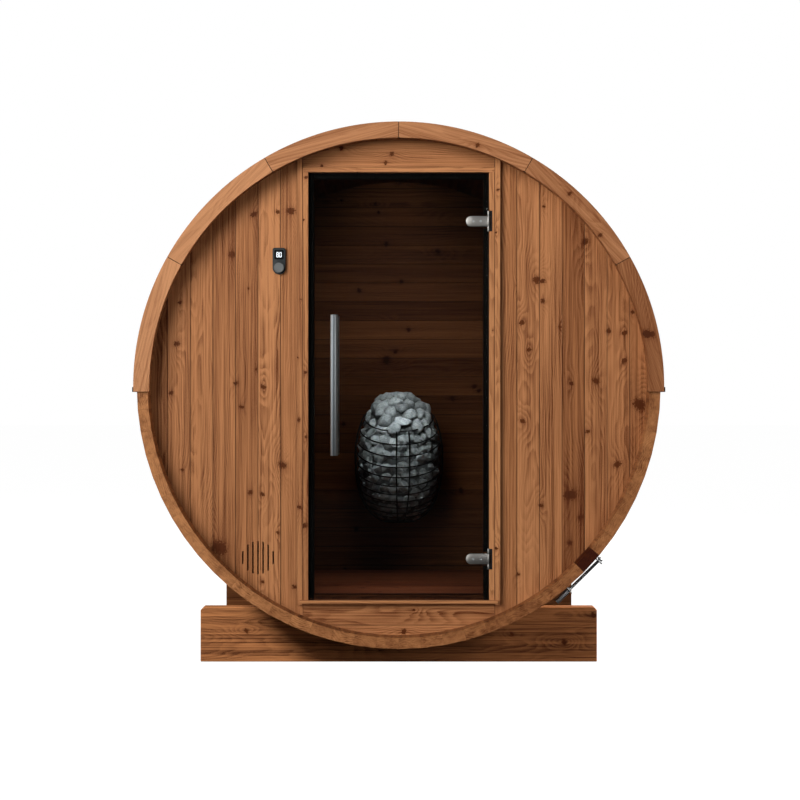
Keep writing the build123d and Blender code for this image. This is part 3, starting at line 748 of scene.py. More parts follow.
def end_walls():
    """Upright boards beside the door, level ones over and under it and across the back."""
    steps = [FRAME_HALF + i * BOARD for i in range(7)] + [WALL_HIGH.x + OVERLAP]
    wall_boards("front_wall_right", steps, WALL_HEIGHTS, True, RIGHT_KNOTS, 21, lifts=RIGHT_LIFTS)
    cutter = vent_cutter()
    wall_boards("front_wall_left", [-s for s in reversed(steps)], WALL_HEIGHTS, True, LEFT_KNOTS, 12,
                cutter=cutter, lifts=LEFT_LIFTS)
    bpy.data.objects.remove(cutter)
    sides = (-FRAME_HALF, FRAME_HALF)
    over = (HEADER_LOW.z, HEADER_HIGH.z + OVERLAP)
    wall_boards("front_wall_over_door", over, sides, False, HEADER_KNOTS, 33, lifts=(0.26,))
    under = (FOOT_LOW.z - OVERLAP, FOOT_HIGH.z - 0.080, FOOT_HIGH.z)
    wall_boards("front_wall_under_door", under, sides, False, (), 34, spare=1, lifts=(0.16, 0.16))
    rows = round((BACK_HIGH.z - BACK_LOW.z) / BOARD) + 1
    back = [BACK_JOINT + (i - 2) * BOARD for i in range(rows)] + [BACK_HIGH.z + OVERLAP]
    reach = (BACK_LOW.x - OVERLAP, BACK_HIGH.x + OVERLAP)
    wall_boards("back_wall", back, reach, False, BACK_KNOTS, 35, spare=3, lifts=BACK_TONE_AND_LIGHT_LIFTS, finish=BACK_WOOD)


def vent_cutter():
    """The shape of seven upright slots within a circle."""
    bm = bmesh.new()
    for i in range(-(VENT_SLOTS // 2), VENT_SLOTS // 2 + 1):
        tall = 2 * sqrt(VENT_RADIUS**2 - (i * VENT_PITCH) ** 2)
        block(bm, VENT + X * i * VENT_PITCH, (SLOT, 0.08, tall))
    return placed("vent_cutter", written(bm, "vent_cutter"))


def cut_through(bm, cutter):
    """The solid less the cutter."""
    solid = placed("cut", written(bm, "cut"))
    cut = solid.modifiers.new("cut", "BOOLEAN")
    cut.operation = "DIFFERENCE"
    cut.solver = "EXACT"
    cut.object = cutter
    return evaluated(solid, blank())


# ---------- pieces with a CAD node's own outline
TIMBERS = (
    # node, grain, face, seed, lift, knots, how many spare knots, their least and greatest radius
    *((f"door_{part}", Z, -Y, seed, 0.20, FRAME_KNOTS, 2, 0.002, 0.005)
      for part, seed in (("jamb_left", 41), ("casing_left", 43), ("jamb_right", 42), ("casing_right", 44))),
    ("door_head", X, -Y, 45, 0.12, (), 1, 0.002, 0.004),
    # The sill is darkened as painted shade under the nosing.
    ("door_sill", X, -Y, 46, -0.4, (), 1, 0.002, 0.004),
    ("cradle_front", X, -Y, 47, 0.08, CRADLE_KNOTS, 1, 0.004, 0.009),
    ("cradle_rear", X, Y, 48, 0.0, (), 4, 0.006, 0.012),
)
FLOOR_BOARDS = 9
FLOOR_GAP = 0.0015
JOISTS = (-0.36, 0.0, 0.36)
JOIST_WIDTH = 0.045


def copied(node):
    """A clean copy of a CAD node's mesh, its flat faces joined up."""
    bm = blank()
    bm.from_mesh(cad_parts[node].data)
    bmesh.ops.remove_doubles(bm, verts=bm.verts[:], dist=1e-5)
    bmesh.ops.dissolve_limit(bm, angle_limit=radians(1.0), verts=bm.verts[:], edges=bm.edges[:])
    return bm


def parted(bm):
    """Each separate solid of a mesh as a mesh of its own, from the lowest corner up."""
    left = set(bm.verts)
    groups = []
    while left:
        stack = [left.pop()]
        group = set(stack)
        while stack:
            near = {v for e in stack.pop().link_edges for v in e.verts} - group
            group |= near
            stack.extend(near)
        left -= group
        groups.append(group)
    groups.sort(key=lambda g: min(tuple(round(c, 4) for c in v.co) for v in g))
    solids = []
    for group in groups:
        solid = bm.copy()
        keep = {v.index for v in group}
        bmesh.ops.delete(solid, geom=[v for v in solid.verts if v.index not in keep], context="VERTS")
        solids.append(solid)
    bm.free()
    return solids


def joinery(node, along, face, seed, lift, knots, *spare):
    """A wooden CAD node redone with eased edges and grain along one axis."""
    frame_part = node.startswith("door")
    finish, slot_name = (FRAME_WOOD, "frame_wood") if frame_part else (CRADLE_WOOD, "cradle_wood")
    ease, seam = (0.0012, 0.9) if frame_part else (0.003, 0.0)
    timber = Timber(seed)
    source = copied(node)
    source.verts.index_update()
    across = face.cross(along)
    for solid in parted(source):
        low = Vector(min(v.co[i] for v in solid.verts) for i in range(3))
        high = Vector(max(v.co[i] for v in solid.verts) for i in range(3))
        round_over(solid, sharp_edges(solid), ease)
        middle = (low + high) / 2
        place = axes_at(middle, along, across, face)
        mine = [(x, (low.y + high.y) / 2, z, r) for x, z, r in knots if low.x < x < high.x and low.z < z < high.z]
        if not mine:
            size = high - low
            mine = timber.spare_knots(place, abs(size.dot(along)), abs(size.dot(across)), *spare)
        timber.lay(solid, place, lift=lift, knots=mine, seam=seam)
    timber.piece(f"{node}_wood", slot_name, finish, node)


def woodwork():
    """Door frame, cradles and floor."""
    for row in TIMBERS:
        joinery(*row)
    nosing()
    floor()


def nosing():
    """A thin strip along the sill's front edge, which shades the board below it."""
    low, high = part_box("door_sill")
    size = (2 * high.x + 0.022, 0.011, 0.028)
    timber = Timber(40)
    place = axes_at((0, low.y - size[2] / 2, GLASS_LOW.z - 0.0025 - size[1] / 2), X, Z, -Y)
    timber.lay(plank(place, size), place, lift=0.25, seam=0.0)
    finished(timber.whole, "door_sill_nosing", FRAME_WOOD)


def floor():
    """A deck of boards across the room, on bearers that follow the curve of the staves."""
    low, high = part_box("floor_boards")
    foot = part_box("floor_joists")[0].z
    reach, deep, thick = high.x - low.x, high.y - low.y, high.z - low.z
    width = deep / FLOOR_BOARDS
    deck = [((0, low.y + (i + 0.5) * width, high.z - thick / 2), X, Y) for i in range(FLOOR_BOARDS)]
    bearers = [((x, 0, (foot + low.z) / 2), Y, X) for x in JOISTS]
    for name, node, seed, spots, size, gap, seam in (
        ("floor_deck", "floor_boards", 49, deck, (reach, width, thick), FLOOR_GAP, 0.6),
        ("floor_bearers", "floor_joists", 50, bearers, (deep, JOIST_WIDTH, low.z - foot), 0.0, 0.9),
    ):
        timber = Timber(seed)
        for spot, along, across in spots:
            place = axes_at(spot, along, across, Z)
            bm = plank(place, (size[0], size[1] - gap, size[2]))
            clip(bm, barrel_planes(INNER_APOTHEM - 0.0005))
            timber.lay(bm, place, knots=timber.spare_knots(place, size[0], size[1], 2), seam=seam)
        timber.piece(name, "floor_wood", FLOOR_WOOD, node)


def dressed(node, finish, width, body="sauna_barrel"):
    """A hard CAD node redone with its edges eased and shaded smooth."""
    bm = copied(node)
    round_over(bm, sharp_edges(bm), width)
    return finished(bm, f"{node}_finished", finish, node, body, smooth=32)


def blackened(piece, side):
    """The plate of a hinge bracket, past this side of its sleeves, finished dark."""
    piece.data.materials.append(PLATE_BLACK)
    for face in piece.data.polygons:
        if face.center.x > side:
            face.material_index = 1


# ---------- arch trim
TRIM_OUTER = TRIM_HIGH.x
TRIM_INNER = TRIM_OUTER - 0.062
TRIM_MIDDLE = (TRIM_INNER + TRIM_OUTER) / 2
TRIM_THICK = TRIM_HIGH.y - TRIM_LOW.y
TRIM_BOARDS = 6
# Painted light: the trim boards grow lighter towards the left, where the light comes from.
TRIM_PAINTED_LIGHT = (0.77, 1.00, 1.07, 1.13, 1.34, 1.42)  # from the right foot round to the left
TRIM_GAP = 0.0022
TRIM_EASE = 0.0010
TRIM_SPARE = 0.03  # angle by which the end boards reach past their feet before they are cut
KNOT_REACH = 0.28  # a trim board takes the knots this near to its middle


def arch_trims():
    """Six curved boards an end, the grain straight along each board's own chord, with dark joints."""
    sink = asin((AXIS_Z - TRIM_LOW.z) / TRIM_OUTER)
    share = (pi + 2 * sink) / TRIM_BOARDS
    gap = TRIM_GAP / 2 / TRIM_OUTER
    for name, y0, face, seed in (("arch_trim_front", TRIM_LOW.y, -Y, 61), ("arch_trim_back", -TRIM_HIGH.y, Y, 62)):
        timber = Timber(seed)
        for i in range(TRIM_BOARDS):
            first = -sink + i * share + gap
            last = -sink + (i + 1) * share - gap
            spare = [TRIM_SPARE if i == end else 0 for end in (0, TRIM_BOARDS - 1)]
            bm = arc_board(y0, first - spare[0], last + spare[1])
            clip(bm, [(Vector((0, 0, TRIM_LOW.z)), -Z)])
            round_over(bm, sharp_edges(bm, 40), TRIM_EASE)
            turn = (first + last) / 2
            out = Vector((cos(turn), 0, sin(turn)))
            along = Vector((-sin(turn), 0, cos(turn)))
            middle = AXIS + Y * (y0 + TRIM_THICK / 2) + out * TRIM_MIDDLE
            place = axes_at(middle, along, face.cross(along), face)
            mine = [(x, middle.y, z, r) for x, z, r in TRIM_KNOTS if y0 < 0]
            mine = [k for k in mine if (Vector(k[:3]) - middle).length < KNOT_REACH]
            # Each board's tone is painted light, lighter towards the left.
            timber.lay(bm, place, tone=TRIM_PAINTED_LIGHT[i], knots=mine)
        timber.piece(f"{name}_boards", "trim_wood", TRIM_WOOD, name)
        filler = bmesh.new()
        for i in range(1, TRIM_BOARDS):
            middle = -sink + i * share
            merge(arc_board(y0, middle - 1.2 * gap, middle + 1.2 * gap, 0.0006, 1), filler)
        finished(filler, f"{name}_joints", JOINT_BROWN)


def arc_board(y0, first, last, ease=0.0, steps=24):
    """A flat ring sector between two angles from +X, made by turning its end section."""
    bm = blank()
    bmesh.ops.create_grid(bm, x_segments=1, y_segments=1, size=0.5)
    breadth = TRIM_OUTER - TRIM_INNER
    bmesh.ops.scale(bm, vec=(breadth - 2 * ease, TRIM_THICK - 2 * ease, 1), verts=bm.verts[:])
    bmesh.ops.translate(bm, vec=Vector((TRIM_MIDDLE, y0 + TRIM_THICK / 2, 0)), verts=bm.verts[:])
    bmesh.ops.rotate(bm, cent=(0, 0, 0), matrix=Matrix.Rotation(-first, 3, "Y"), verts=bm.verts[:])
    bmesh.ops.translate(bm, vec=AXIS, verts=bm.verts[:])
    bmesh.ops.spin(bm, geom=everything(bm), cent=AXIS, axis=-Y, angle=last - first, steps=steps)
    return bm


# ---------- roof
TABS = 5  # shingle tabs along a course
COURSES = 9
TAB_THICK = 0.0032
TAB_TONES = (0.72, 1.25)
FELT = 1.0105  # radii, from the barrel's axis
TAB_FOOT = 1.0157
TAB_HEAD = 1.0120
RIDGE = 1.0165
CAP_LENGTH = 0.29
CAP_SPAN = 0.13  # angle from the ridge to a cap's edge


def roof():
    """Overlapping courses of shingle tabs on each side, over a felt, with ridge caps and eave strips."""
    tab = 2 * STAVE_END / (TABS - 0.5)
    course = pi / 2 / COURSES
    for side, name in ((1, "right"), (-1, "left")):
        chance = random.Random(71 + side)
        bm = bmesh.new()
        bm.verts.layers.float.new("tone")
        curved_sheet(bm, side, (pi / 2, pi), (-STAVE_END, STAVE_END), (FELT, FELT), 20, 0.8)
        for i in range(COURSES):
            low = pi / 2 + i * course
            ends = (low + (0.0004 if i else 0), min(low + course * 1.12, pi))
            for j in range(TABS + 1):
                y0 = -STAVE_END + (j - 0.5 * (i % 2)) * tab
                ys = (max(y0, -STAVE_END) + 0.002, min(y0 + tab, STAVE_END) - 0.002)
                if ys[1] - ys[0] < 0.02:
                    continue
                lift = chance.uniform(-0.0004, 0.0)
                curved_sheet(bm, side, ends, ys, (TAB_FOOT + lift, TAB_HEAD), 6, chance.uniform(*TAB_TONES))
        for j in range(round(2 * STAVE_END / CAP_LENGTH)):
            ys = (-STAVE_END + j * CAP_LENGTH + 0.001, -STAVE_END + (j + 1) * CAP_LENGTH - 0.001)
            angles = (pi - CAP_SPAN, pi)
            curved_sheet(bm, side, angles, ys, (RIDGE, RIDGE), 4, chance.uniform(*TAB_TONES))
        bmesh.ops.recalc_face_normals(bm, faces=bm.faces[:])
        finished(bm, f"roof_cover_{name}_shingles", SHINGLE, f"roof_cover_{name}")
    for name in ("left", "right"):
        dressed(f"eave_strip_{name}", EAVE_BROWN, 0.0012)


def curved_sheet(whole, side, angles, ys, radii, steps, shade):
    """A thin sheet bent round the barrel, its inner radius running between the two radii."""
    bm = bmesh.new()
    tone = bm.verts.layers.float.new("tone")
    bmesh.ops.create_cube(bm, size=1.0)
    bmesh.ops.subdivide_edges(bm, edges=[e for e in bm.edges if run_of(e, 0) > 0.5], cuts=steps - 1)
    for v in bm.verts:
        share = v.co.x + 0.5
        angle = angles[0] + (angles[1] - angles[0]) * share
        out = radial(angle) * (radii[0] + (radii[1] - radii[0]) * share + (v.co.z + 0.5) * TAB_THICK)
        v.co = Vector((side * out.x, ys[0] if v.co.y < 0 else ys[1], AXIS_Z + out.z))
        v[tone] = shade
    merge(bm, whole)


# ---------- door
SEAL_WIDTH = 0.021
SEAL_EASE = 0.0012
POST_INSET = 0.060
POST_RADIUS = 0.009
COLLAR_RADIUS = 0.0135
COLLAR_DEEP = 0.004
SCREW_RADIUS = 0.0042


def door():
    """The glass with ground edges, its hinges and its bars."""
    bm = copied("door_glass")
    round_over(bm, sharp_edges(bm, 60), 0.0008)
    finished(bm, "door_glass_pane", GLASS, "door_glass", "door")
    seal_and_shade_strips()
    pull_bar("outside", GLASS_LOW.y, 1)
    pull_bar("inside", GLASS_HIGH.y, -1)
    for name in ("upper", "lower"):
        dressed(f"hinge_leaf_{name}", HINGE_STEEL, 0.0010, "door")
        bracket = dressed(f"hinge_bracket_{name}", HINGE_STEEL, 0.0006)
        blackened(bracket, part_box(f"hinge_bracket_{name}")[0].x + 0.0075)
        screws(name)


def pull_bar(name, glass_y, sign):
    """A round bar beside the glass, on two short posts with collars."""
    low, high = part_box(f"pull_bar_{name}")
    radius = (high.x - low.x) / 2 - 0.001
    x = (low.x + high.x) / 2 + 0.004
    y = low.y + radius if sign > 0 else high.y - radius
    bm = bmesh.new()
    cylinder(bm, Vector((x, y, low.z)), Vector((x, y, high.z)), radius, 48, 0.0015)
    for z in (low.z + POST_INSET, high.z - POST_INSET):
        foot = Vector((x, glass_y, z))
        cylinder(bm, Vector((x, y, z)), foot, POST_RADIUS)
        cylinder(bm, foot - Y * sign * COLLAR_DEEP, foot, COLLAR_RADIUS, 32, 0.0008)
    finished(bm, f"pull_bar_{name}_steel", BAR_STEEL, f"pull_bar_{name}", "door", 40)


def seal_and_shade_strips():
    """The rubber strip on the stops that the closed glass meets, left open at the hinges; it is black partly as
    rubber and partly as painted shade in the rebate.
    """
    outer = FRAME_HALF - 0.021
    inner = outer - SEAL_WIDTH
    back, front = GLASS_HIGH.y + 0.0054, GLASS_HIGH.y + 0.0006
    top, foot = GLASS_HIGH.z + 0.005, GLASS_LOW.z - 0.005
    gaps = []
    for name in ("lower", "upper"):
        low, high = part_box(f"hinge_leaf_{name}")
        gaps += [low.z - 0.007, high.z + 0.007]
    runs = [(-outer, -inner, foot, top), (-inner, inner, top - SEAL_WIDTH - 0.003, top)]
    runs += [(inner, outer, low, high) for low, high in ((foot, gaps[0]), (gaps[1], gaps[2]), (gaps[3], top))]
    bm = bmesh.new()
    for x0, x1, z0, z1 in runs:
        middle = Vector(((x0 + x1) / 2, (back + front) / 2, (z0 + z1) / 2))
        round_over(bm, block(bm, middle, (x1 - x0, back - front, z1 - z0)), SEAL_EASE)
    finished(bm, "door_seal", SEAL_AND_SHADE_BLACK, smooth=40)


def screws(name):
    """Two countersunk screw heads in each hinge's clamp plate."""
    low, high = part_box(f"hinge_leaf_{name}")
    bm = bmesh.new()
    for share in (0.30, 0.62):
        spot = Vector((low.x + (high.x - low.x) * share, low.y, (low.z + high.z) / 2))
        cylinder(bm, spot - Y * 0.0002, spot + Y * 0.002, SCREW_RADIUS, 24, 0.0004)
        heads = [f for f in bm.faces if (f.calc_center_median() - spot).length < 0.0012 and f.normal.y < -0.9]
        bmesh.ops.inset_region(bm, faces=heads, thickness=0.0018)
        bmesh.ops.translate(bm, verts=list({v for f in heads for v in f.verts}), vec=Y * 0.0012)
    finished(bm, f"hinge_screws_{name}", BAR_STEEL, None, "door", 40)


# ---------- control unit
SEGMENTS = {"8": "abcdefg", "0": "abcdef"}
DIGITS = "80"
DIGIT_WIDTH = 0.0088
DIGIT_HEIGHT = 0.0205
DIGIT_GAP = 0.0028
STROKE = 0.0022
LIT_THICK = 0.0004
WINDOW = 0.036
RIBS = 72


def control_unit():
    """The panel with its dark window, two lit digits and a ribbed dial."""
    bm = copied("control_panel")
    top = [e for e in bm.edges if min(v.co.z for v in e.verts) > PANEL_HIGH.z - 0.001]
    round_over(bm, [e for e in top if run_of(e, 1) > 0.004], 0.006, 5)
    round_over(bm, sharp_edges(bm, 40), 0.0022, 3)
    finished(bm, "control_panel_finished", PANEL_BLACK, "control_panel", smooth=32)
    centre = Vector(((PANEL_LOW.x + PANEL_HIGH.x) / 2, PANEL_LOW.y + 0.008, PANEL_HIGH.z - 0.027))
    bm = bmesh.new()
    round_over(bm, [e for e in block(bm, centre, (WINDOW, 0.0006, WINDOW)) if run_of(e, 1) > 0.0001], 0.004, 4)
    finished(bm, "control_window", WINDOW_BLACK)
    digits(centre - Y * 0.0004)
    dial()


def digits(centre):
    """Seven-bar numerals made of small lit bars."""
    bm = bmesh.new()
    half, tall = DIGIT_WIDTH / 2 - STROKE / 2, DIGIT_HEIGHT / 2 - STROKE / 2
    bars = {
        "a": (0, tall, False), "d": (0, -tall, False), "g": (0, 0, False), "b": (half, tall / 2, True),
        "c": (half, -tall / 2, True), "e": (-half, -tall / 2, True), "f": (-half, tall / 2, True),
    }
    upright_bar = (STROKE, LIT_THICK, tall - STROKE * 0.4)
    level_bar = (2 * half - STROKE * 0.4, LIT_THICK, STROKE)
    for place, digit in enumerate(DIGITS):
        x0 = (place - 0.5) * (DIGIT_WIDTH + DIGIT_GAP)
        for letter in SEGMENTS[digit]:
            x, z, upright = bars[letter]
            edges = block(bm, centre + Vector((x0 + x, 0, z)), upright_bar if upright else level_bar)
            round_over(bm, [e for e in edges if run_of(e, 1) > 0.0001], 0.0007)
    finished(bm, "control_digits", DIGIT_LIGHT)


def dial():
    """The rotary dial: finely ribbed round its side, with a dished face and a pointer."""
    middle = (KNOB_LOW + KNOB_HIGH) / 2
    radius = (KNOB_HIGH.x - KNOB_LOW.x) / 2
    front, back = Vector((middle.x, KNOB_LOW.y, middle.z)), Vector((middle.x, KNOB_HIGH.y, middle.z))
    bm = bmesh.new()
    cylinder(bm, front, back, radius, RIBS)

    def turn(face):
        offset = face.calc_center_median() - front
        return atan2(offset.z, offset.x)

    side = sorted((f for f in bm.faces if abs(f.normal.y) < 0.5), key=turn)
    bmesh.ops.inset_individual(bm, faces=side[::2], thickness=0.00025, depth=-0.0005)
    top = [f for f in bm.faces if f.normal.y < -0.9]
    bmesh.ops.inset_region(bm, faces=top, thickness=0.0018)
    bmesh.ops.inset_region(bm, faces=top, thickness=0.0016, depth=-0.0008)
    block(bm, front + Vector((0, 0.0001, radius * 0.62)), (0.0012, 0.0012, 0.006))
    finished(bm, "control_dial_grip", KNOB_GREY, "control_knob", "control_dial", 25)


# ---------- tension bands
LUG_ANGLES = (radians(49.0), radians(40.0))
LUG_SIZE = (0.030, 0.006)
ROD_AXIS = 1.036  # from the barrel's axis to the rod
ROD_RADIUS = 0.0055
THREAD_PITCH = 0.0035
THREAD_DEEP = 0.0026
THREAD_RADII = (0.0066, 0.0056)


def bands():
    """Steel bands with their lugs, threaded rod, nuts and long sleeve nut."""
    for name in ("front", "rear"):
        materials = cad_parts[f"band_{name}"].data.materials
        materials.clear()
        materials.append(BAND_STEEL)
        low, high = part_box(f"band_bolt_{name}")
        bm = bmesh.new()
        upper, lower = (AXIS + Y * ((low.y + high.y) / 2) + radial(a) * ROD_AXIS for a in LUG_ANGLES)
        run = (lower - upper).normalized()
        for spot, angle in zip((upper, lower), LUG_ANGLES):
            lug(bm, spot, radial(angle), high.y - low.y)
        cylinder(bm, upper - run * 0.016, lower, ROD_RADIUS, 20)
        for i in range(int(((lower - upper).length + 0.012) / THREAD_PITCH)):
            cone(bm, upper + run * (i * THREAD_PITCH - 0.014), run, THREAD_DEEP, THREAD_RADII, 16)
        cylinder(bm, upper - run * 0.013, upper - run * 0.0045, 0.0110, 6, 0.0009)
        cylinder(bm, lower + run * 0.003, lower + run * 0.068, 0.0112, 6, 0.0012)
        finished(bm, f"band_bolt_{name}_steel", BOLT_STEEL, f"band_bolt_{name}", smooth=40)


def lug(bm, spot, out, width):
    """A bent plate that stands up from the band and takes the rod."""
    place = axes_at(spot + out * 0.001, out, out.cross(Y), Y)
    round_over(bm, block(bm, place, (*LUG_SIZE, width)), 0.0012)


# ---------- heater
EGG_MIDDLE = 0.790  # height of the egg's widest part
EGG_RADIUS = 0.194
EGG_ABOVE = 0.297
EGG_BELOW = 0.307
EGG_Y = 0.393
CAGE_TILT = radians(22)
CAGE_WIRE = 0.0032  # radius of the wire
RING_TOP = 0.975
RING_POINTS = 56
RINGS = 11
UPRIGHTS = [radians(a) for a in (88, 180, 267, 284, 360)]  # the door's side is at 270
UPRIGHT_STEPS = 40
STRUTS = (-0.060, 0.060)  # heights of the bracket's arms from the egg's widest part
STRUT_SIZE = (0.030, 0.020)
STONE_PITCH = 0.040  # least distance between two stones' middles
STONE_TRIES = 9000
STONE_SIZES = ((0.025, 0.033), (0.020, 0.027), (0.017, 0.023))  # half of its length, width and thickness
STONE_SINK = (0.002, 0.006)  # how far under the cage a stone lies, and a heaped one, which may stand out
HEAPED_SINK = (-0.010, 0.006)
CORE_INSET = 0.022
# The core's darkness is painted shade seen between the stones.
CORE_PAINTED_SHADE = 0.22


def egg_radius(z):
    """Radius of the cage at a height: round above its widest part and blunter below it."""
    share, power = ((z - EGG_MIDDLE) / EGG_ABOVE, 2.0) if z >= EGG_MIDDLE else ((EGG_MIDDLE - z) / EGG_BELOW, 2.4)
    return EGG_RADIUS * max(0.0, 1 - share**power) ** (1 / power)


def on_egg(height, turn):
    """The point of the egg at a turn about it, on the plane that leans down towards the door."""
    low, high = 0.0, 2 * EGG_RADIUS
    flat = Vector((cos(turn), sin(turn) * cos(CAGE_TILT)))
    for _ in range(24):
        reach = (low + high) / 2
        z = height + reach * sin(turn) * sin(CAGE_TILT)
        if (flat * reach).length < egg_radius(z):
            low = reach
        else:
            high = reach
    return Vector((flat.x * low, EGG_Y + flat.y * low, z))


def ring_heights():
    """Heights at which the leaning rings cross the heater's axis, closer together lower down."""
    heights = [RING_TOP]
    for i in range(RINGS - 1):
        heights.append(heights[-1] - 0.054 + i * 0.00276)
    return heights


def wire(paths, radius):
    """Round wires along closed or open lines of points, as one mesh."""
    curve = bpy.data.curves.new("wire", "CURVE")
    curve.dimensions = "3D"
    curve.bevel_depth = radius
    curve.bevel_resolution = 2
    curve.use_fill_caps = True
    for points, closed in paths:
        spline = curve.splines.new("POLY")
        spline.points.add(len(points) - 1)
        for slot, point in zip(spline.points, points):
            slot.co = (*point, 1)
        spline.use_cyclic_u = closed
    return evaluated(placed("wire", curve), bmesh.new())


def heater():
    """A heap of stones in a cage of leaning rings, on a plate, held off the wall by a bracket."""
    turns = [2 * pi * i / RING_POINTS for i in range(RING_POINTS)]
    paths = [([on_egg(height, turn) for turn in turns], True) for height in ring_heights()]
    foot = STONE_LOW.z
    for angle in UPRIGHTS:
        top = on_egg(RING_TOP, angle).z
        points = []
        for i in range(UPRIGHT_STEPS + 1):
            z = foot + (top - foot) * i / UPRIGHT_STEPS
            out = egg_radius(z) + 1.5 * CAGE_WIRE
            points.append(Vector((out * cos(angle), EGG_Y + out * sin(angle), z)))
        paths.append((points, False))
    bm = wire(paths, CAGE_WIRE)
    base = Vector((0, EGG_Y, foot))
    cylinder(bm, base - Z * 0.004, base, egg_radius(foot) + 0.002, 48, 0.001)
    for lift in STRUTS:
        spot = Vector((0, (EGG_Y + EGG_RADIUS + BRACKET_FACE) / 2, EGG_MIDDLE + lift))
        block(bm, spot, (STRUT_SIZE[0], BRACKET_FACE - EGG_Y - EGG_RADIUS, STRUT_SIZE[1]))
    finished(bm, "heater_cage_wires", CAGE_BLACK, "heater_cage", smooth=50)
    dressed("heater_bracket", CAGE_BLACK, 0.0012)
    heater_stones()


def heater_stones():
    """Broken stones packed behind the rings and heaped above them, over a dark core that is painted shade between
    the stones.
    """
    chance = random.Random(7)
    bm = bmesh.new()
    tone = bm.verts.layers.float.new("tone")
    laid = []
    for _ in range(STONE_TRIES):
        d = chance_way(chance)
        z = EGG_MIDDLE + d.z * (EGG_ABOVE if d.z > 0 else EGG_MIDDLE - STONE_LOW.z - 0.012)
        flat = Vector((d.x, d.y, 0)).normalized()
        spot = Vector((0, EGG_Y, z)) + flat * egg_radius(z)
        heaped = z > RING_TOP + 0.015 + (spot.y - EGG_Y) * tan(CAGE_TILT)
        pitch = STONE_PITCH * (1.12 if heaped else 1.0)
        if any((spot - other).length < pitch for other in laid):
            continue
        laid.append(spot)
        steep = 1 - (z - EGG_MIDDLE) / EGG_ABOVE if z > EGG_MIDDLE else 1.0
        out = (flat * max(steep, 0.05) ** 0.5 + Z * (z - EGG_MIDDLE) / EGG_ABOVE).normalized()
        size = Vector([chance.uniform(*ends) for ends in STONE_SIZES])
        sink = size.z * 1.2 + chance.uniform(*(HEAPED_SINK if heaped else STONE_SINK))
        stone(bm, tone, chance, spot - out * sink, out, size * (1.15 if heaped else 1.0), heaped)
    for v in bmesh.ops.create_uvsphere(bm, u_segments=24, v_segments=16, radius=1.0)["verts"]:
        z = EGG_MIDDLE + v.co.z * (EGG_ABOVE - 0.040 if v.co.z > 0 else EGG_MIDDLE - STONE_LOW.z - 0.002)
        flat = Vector((v.co.x, v.co.y))
        flat = flat.normalized() * max(0.0, egg_radius(z) - CORE_INSET) if flat.length > 1e-6 else flat
        v.co = Vector((flat.x, EGG_Y + flat.y, z))
        v[tone] = CORE_PAINTED_SHADE
    finished(bm, "heater_stone_heap", STONE, "heater_stones", smooth=38)


def stone(bm, tone, chance, centre, out, size, loose):
    """One broken stone: a ball split along a few planes, its broad side out, darker towards its buried side as
    painted shade.
    """
    made = bmesh.ops.create_icosphere(bm, subdivisions=2 if loose else 1, radius=1.0)["verts"]
    cuts = [(chance_way(chance), chance.uniform(0.55, 0.85)) for _ in range(6)]
    roll = Matrix.Rotation(chance.uniform(0, pi) if loose else chance.gauss(0, 0.5), 3, "Z")
    across = Z.cross(out).normalized() if abs(out.z) < 0.99 else X
    turn = Matrix((across, out.cross(across), out)).transposed()
    shade = chance.uniform(0.68, 1.20)
    top = centre.z + 1.2 * max(abs(turn[2][i]) * size[i] for i in range(3)) - STONE_HIGH.z
    centre = centre - Z * max(0.0, top)
    seed = Vector((chance.uniform(0, 50), chance.uniform(0, 50), 0))
    for v in made:
        p = v.co * (1.05 + 0.22 * noise.noise(v.co * 1.3 + seed))
        for normal, reach in cuts:
            p -= normal * max(0.0, p.dot(normal) - reach) * 0.9
        # Painted shade: each stone darkens towards its buried side, as in the crevices between stones.
        lit_share = max(0.0, min(1.0, (p.z + 0.15) / 0.75))
        p = centre + turn @ (roll @ Vector(a * b * 1.18 for a, b in zip(p, size)))
        v.co = Vector((p.x, p.y, min(p.z, STONE_HIGH.z + 0.004)))
        v[tone] = shade * (0.30 + 0.70 * lit_share)


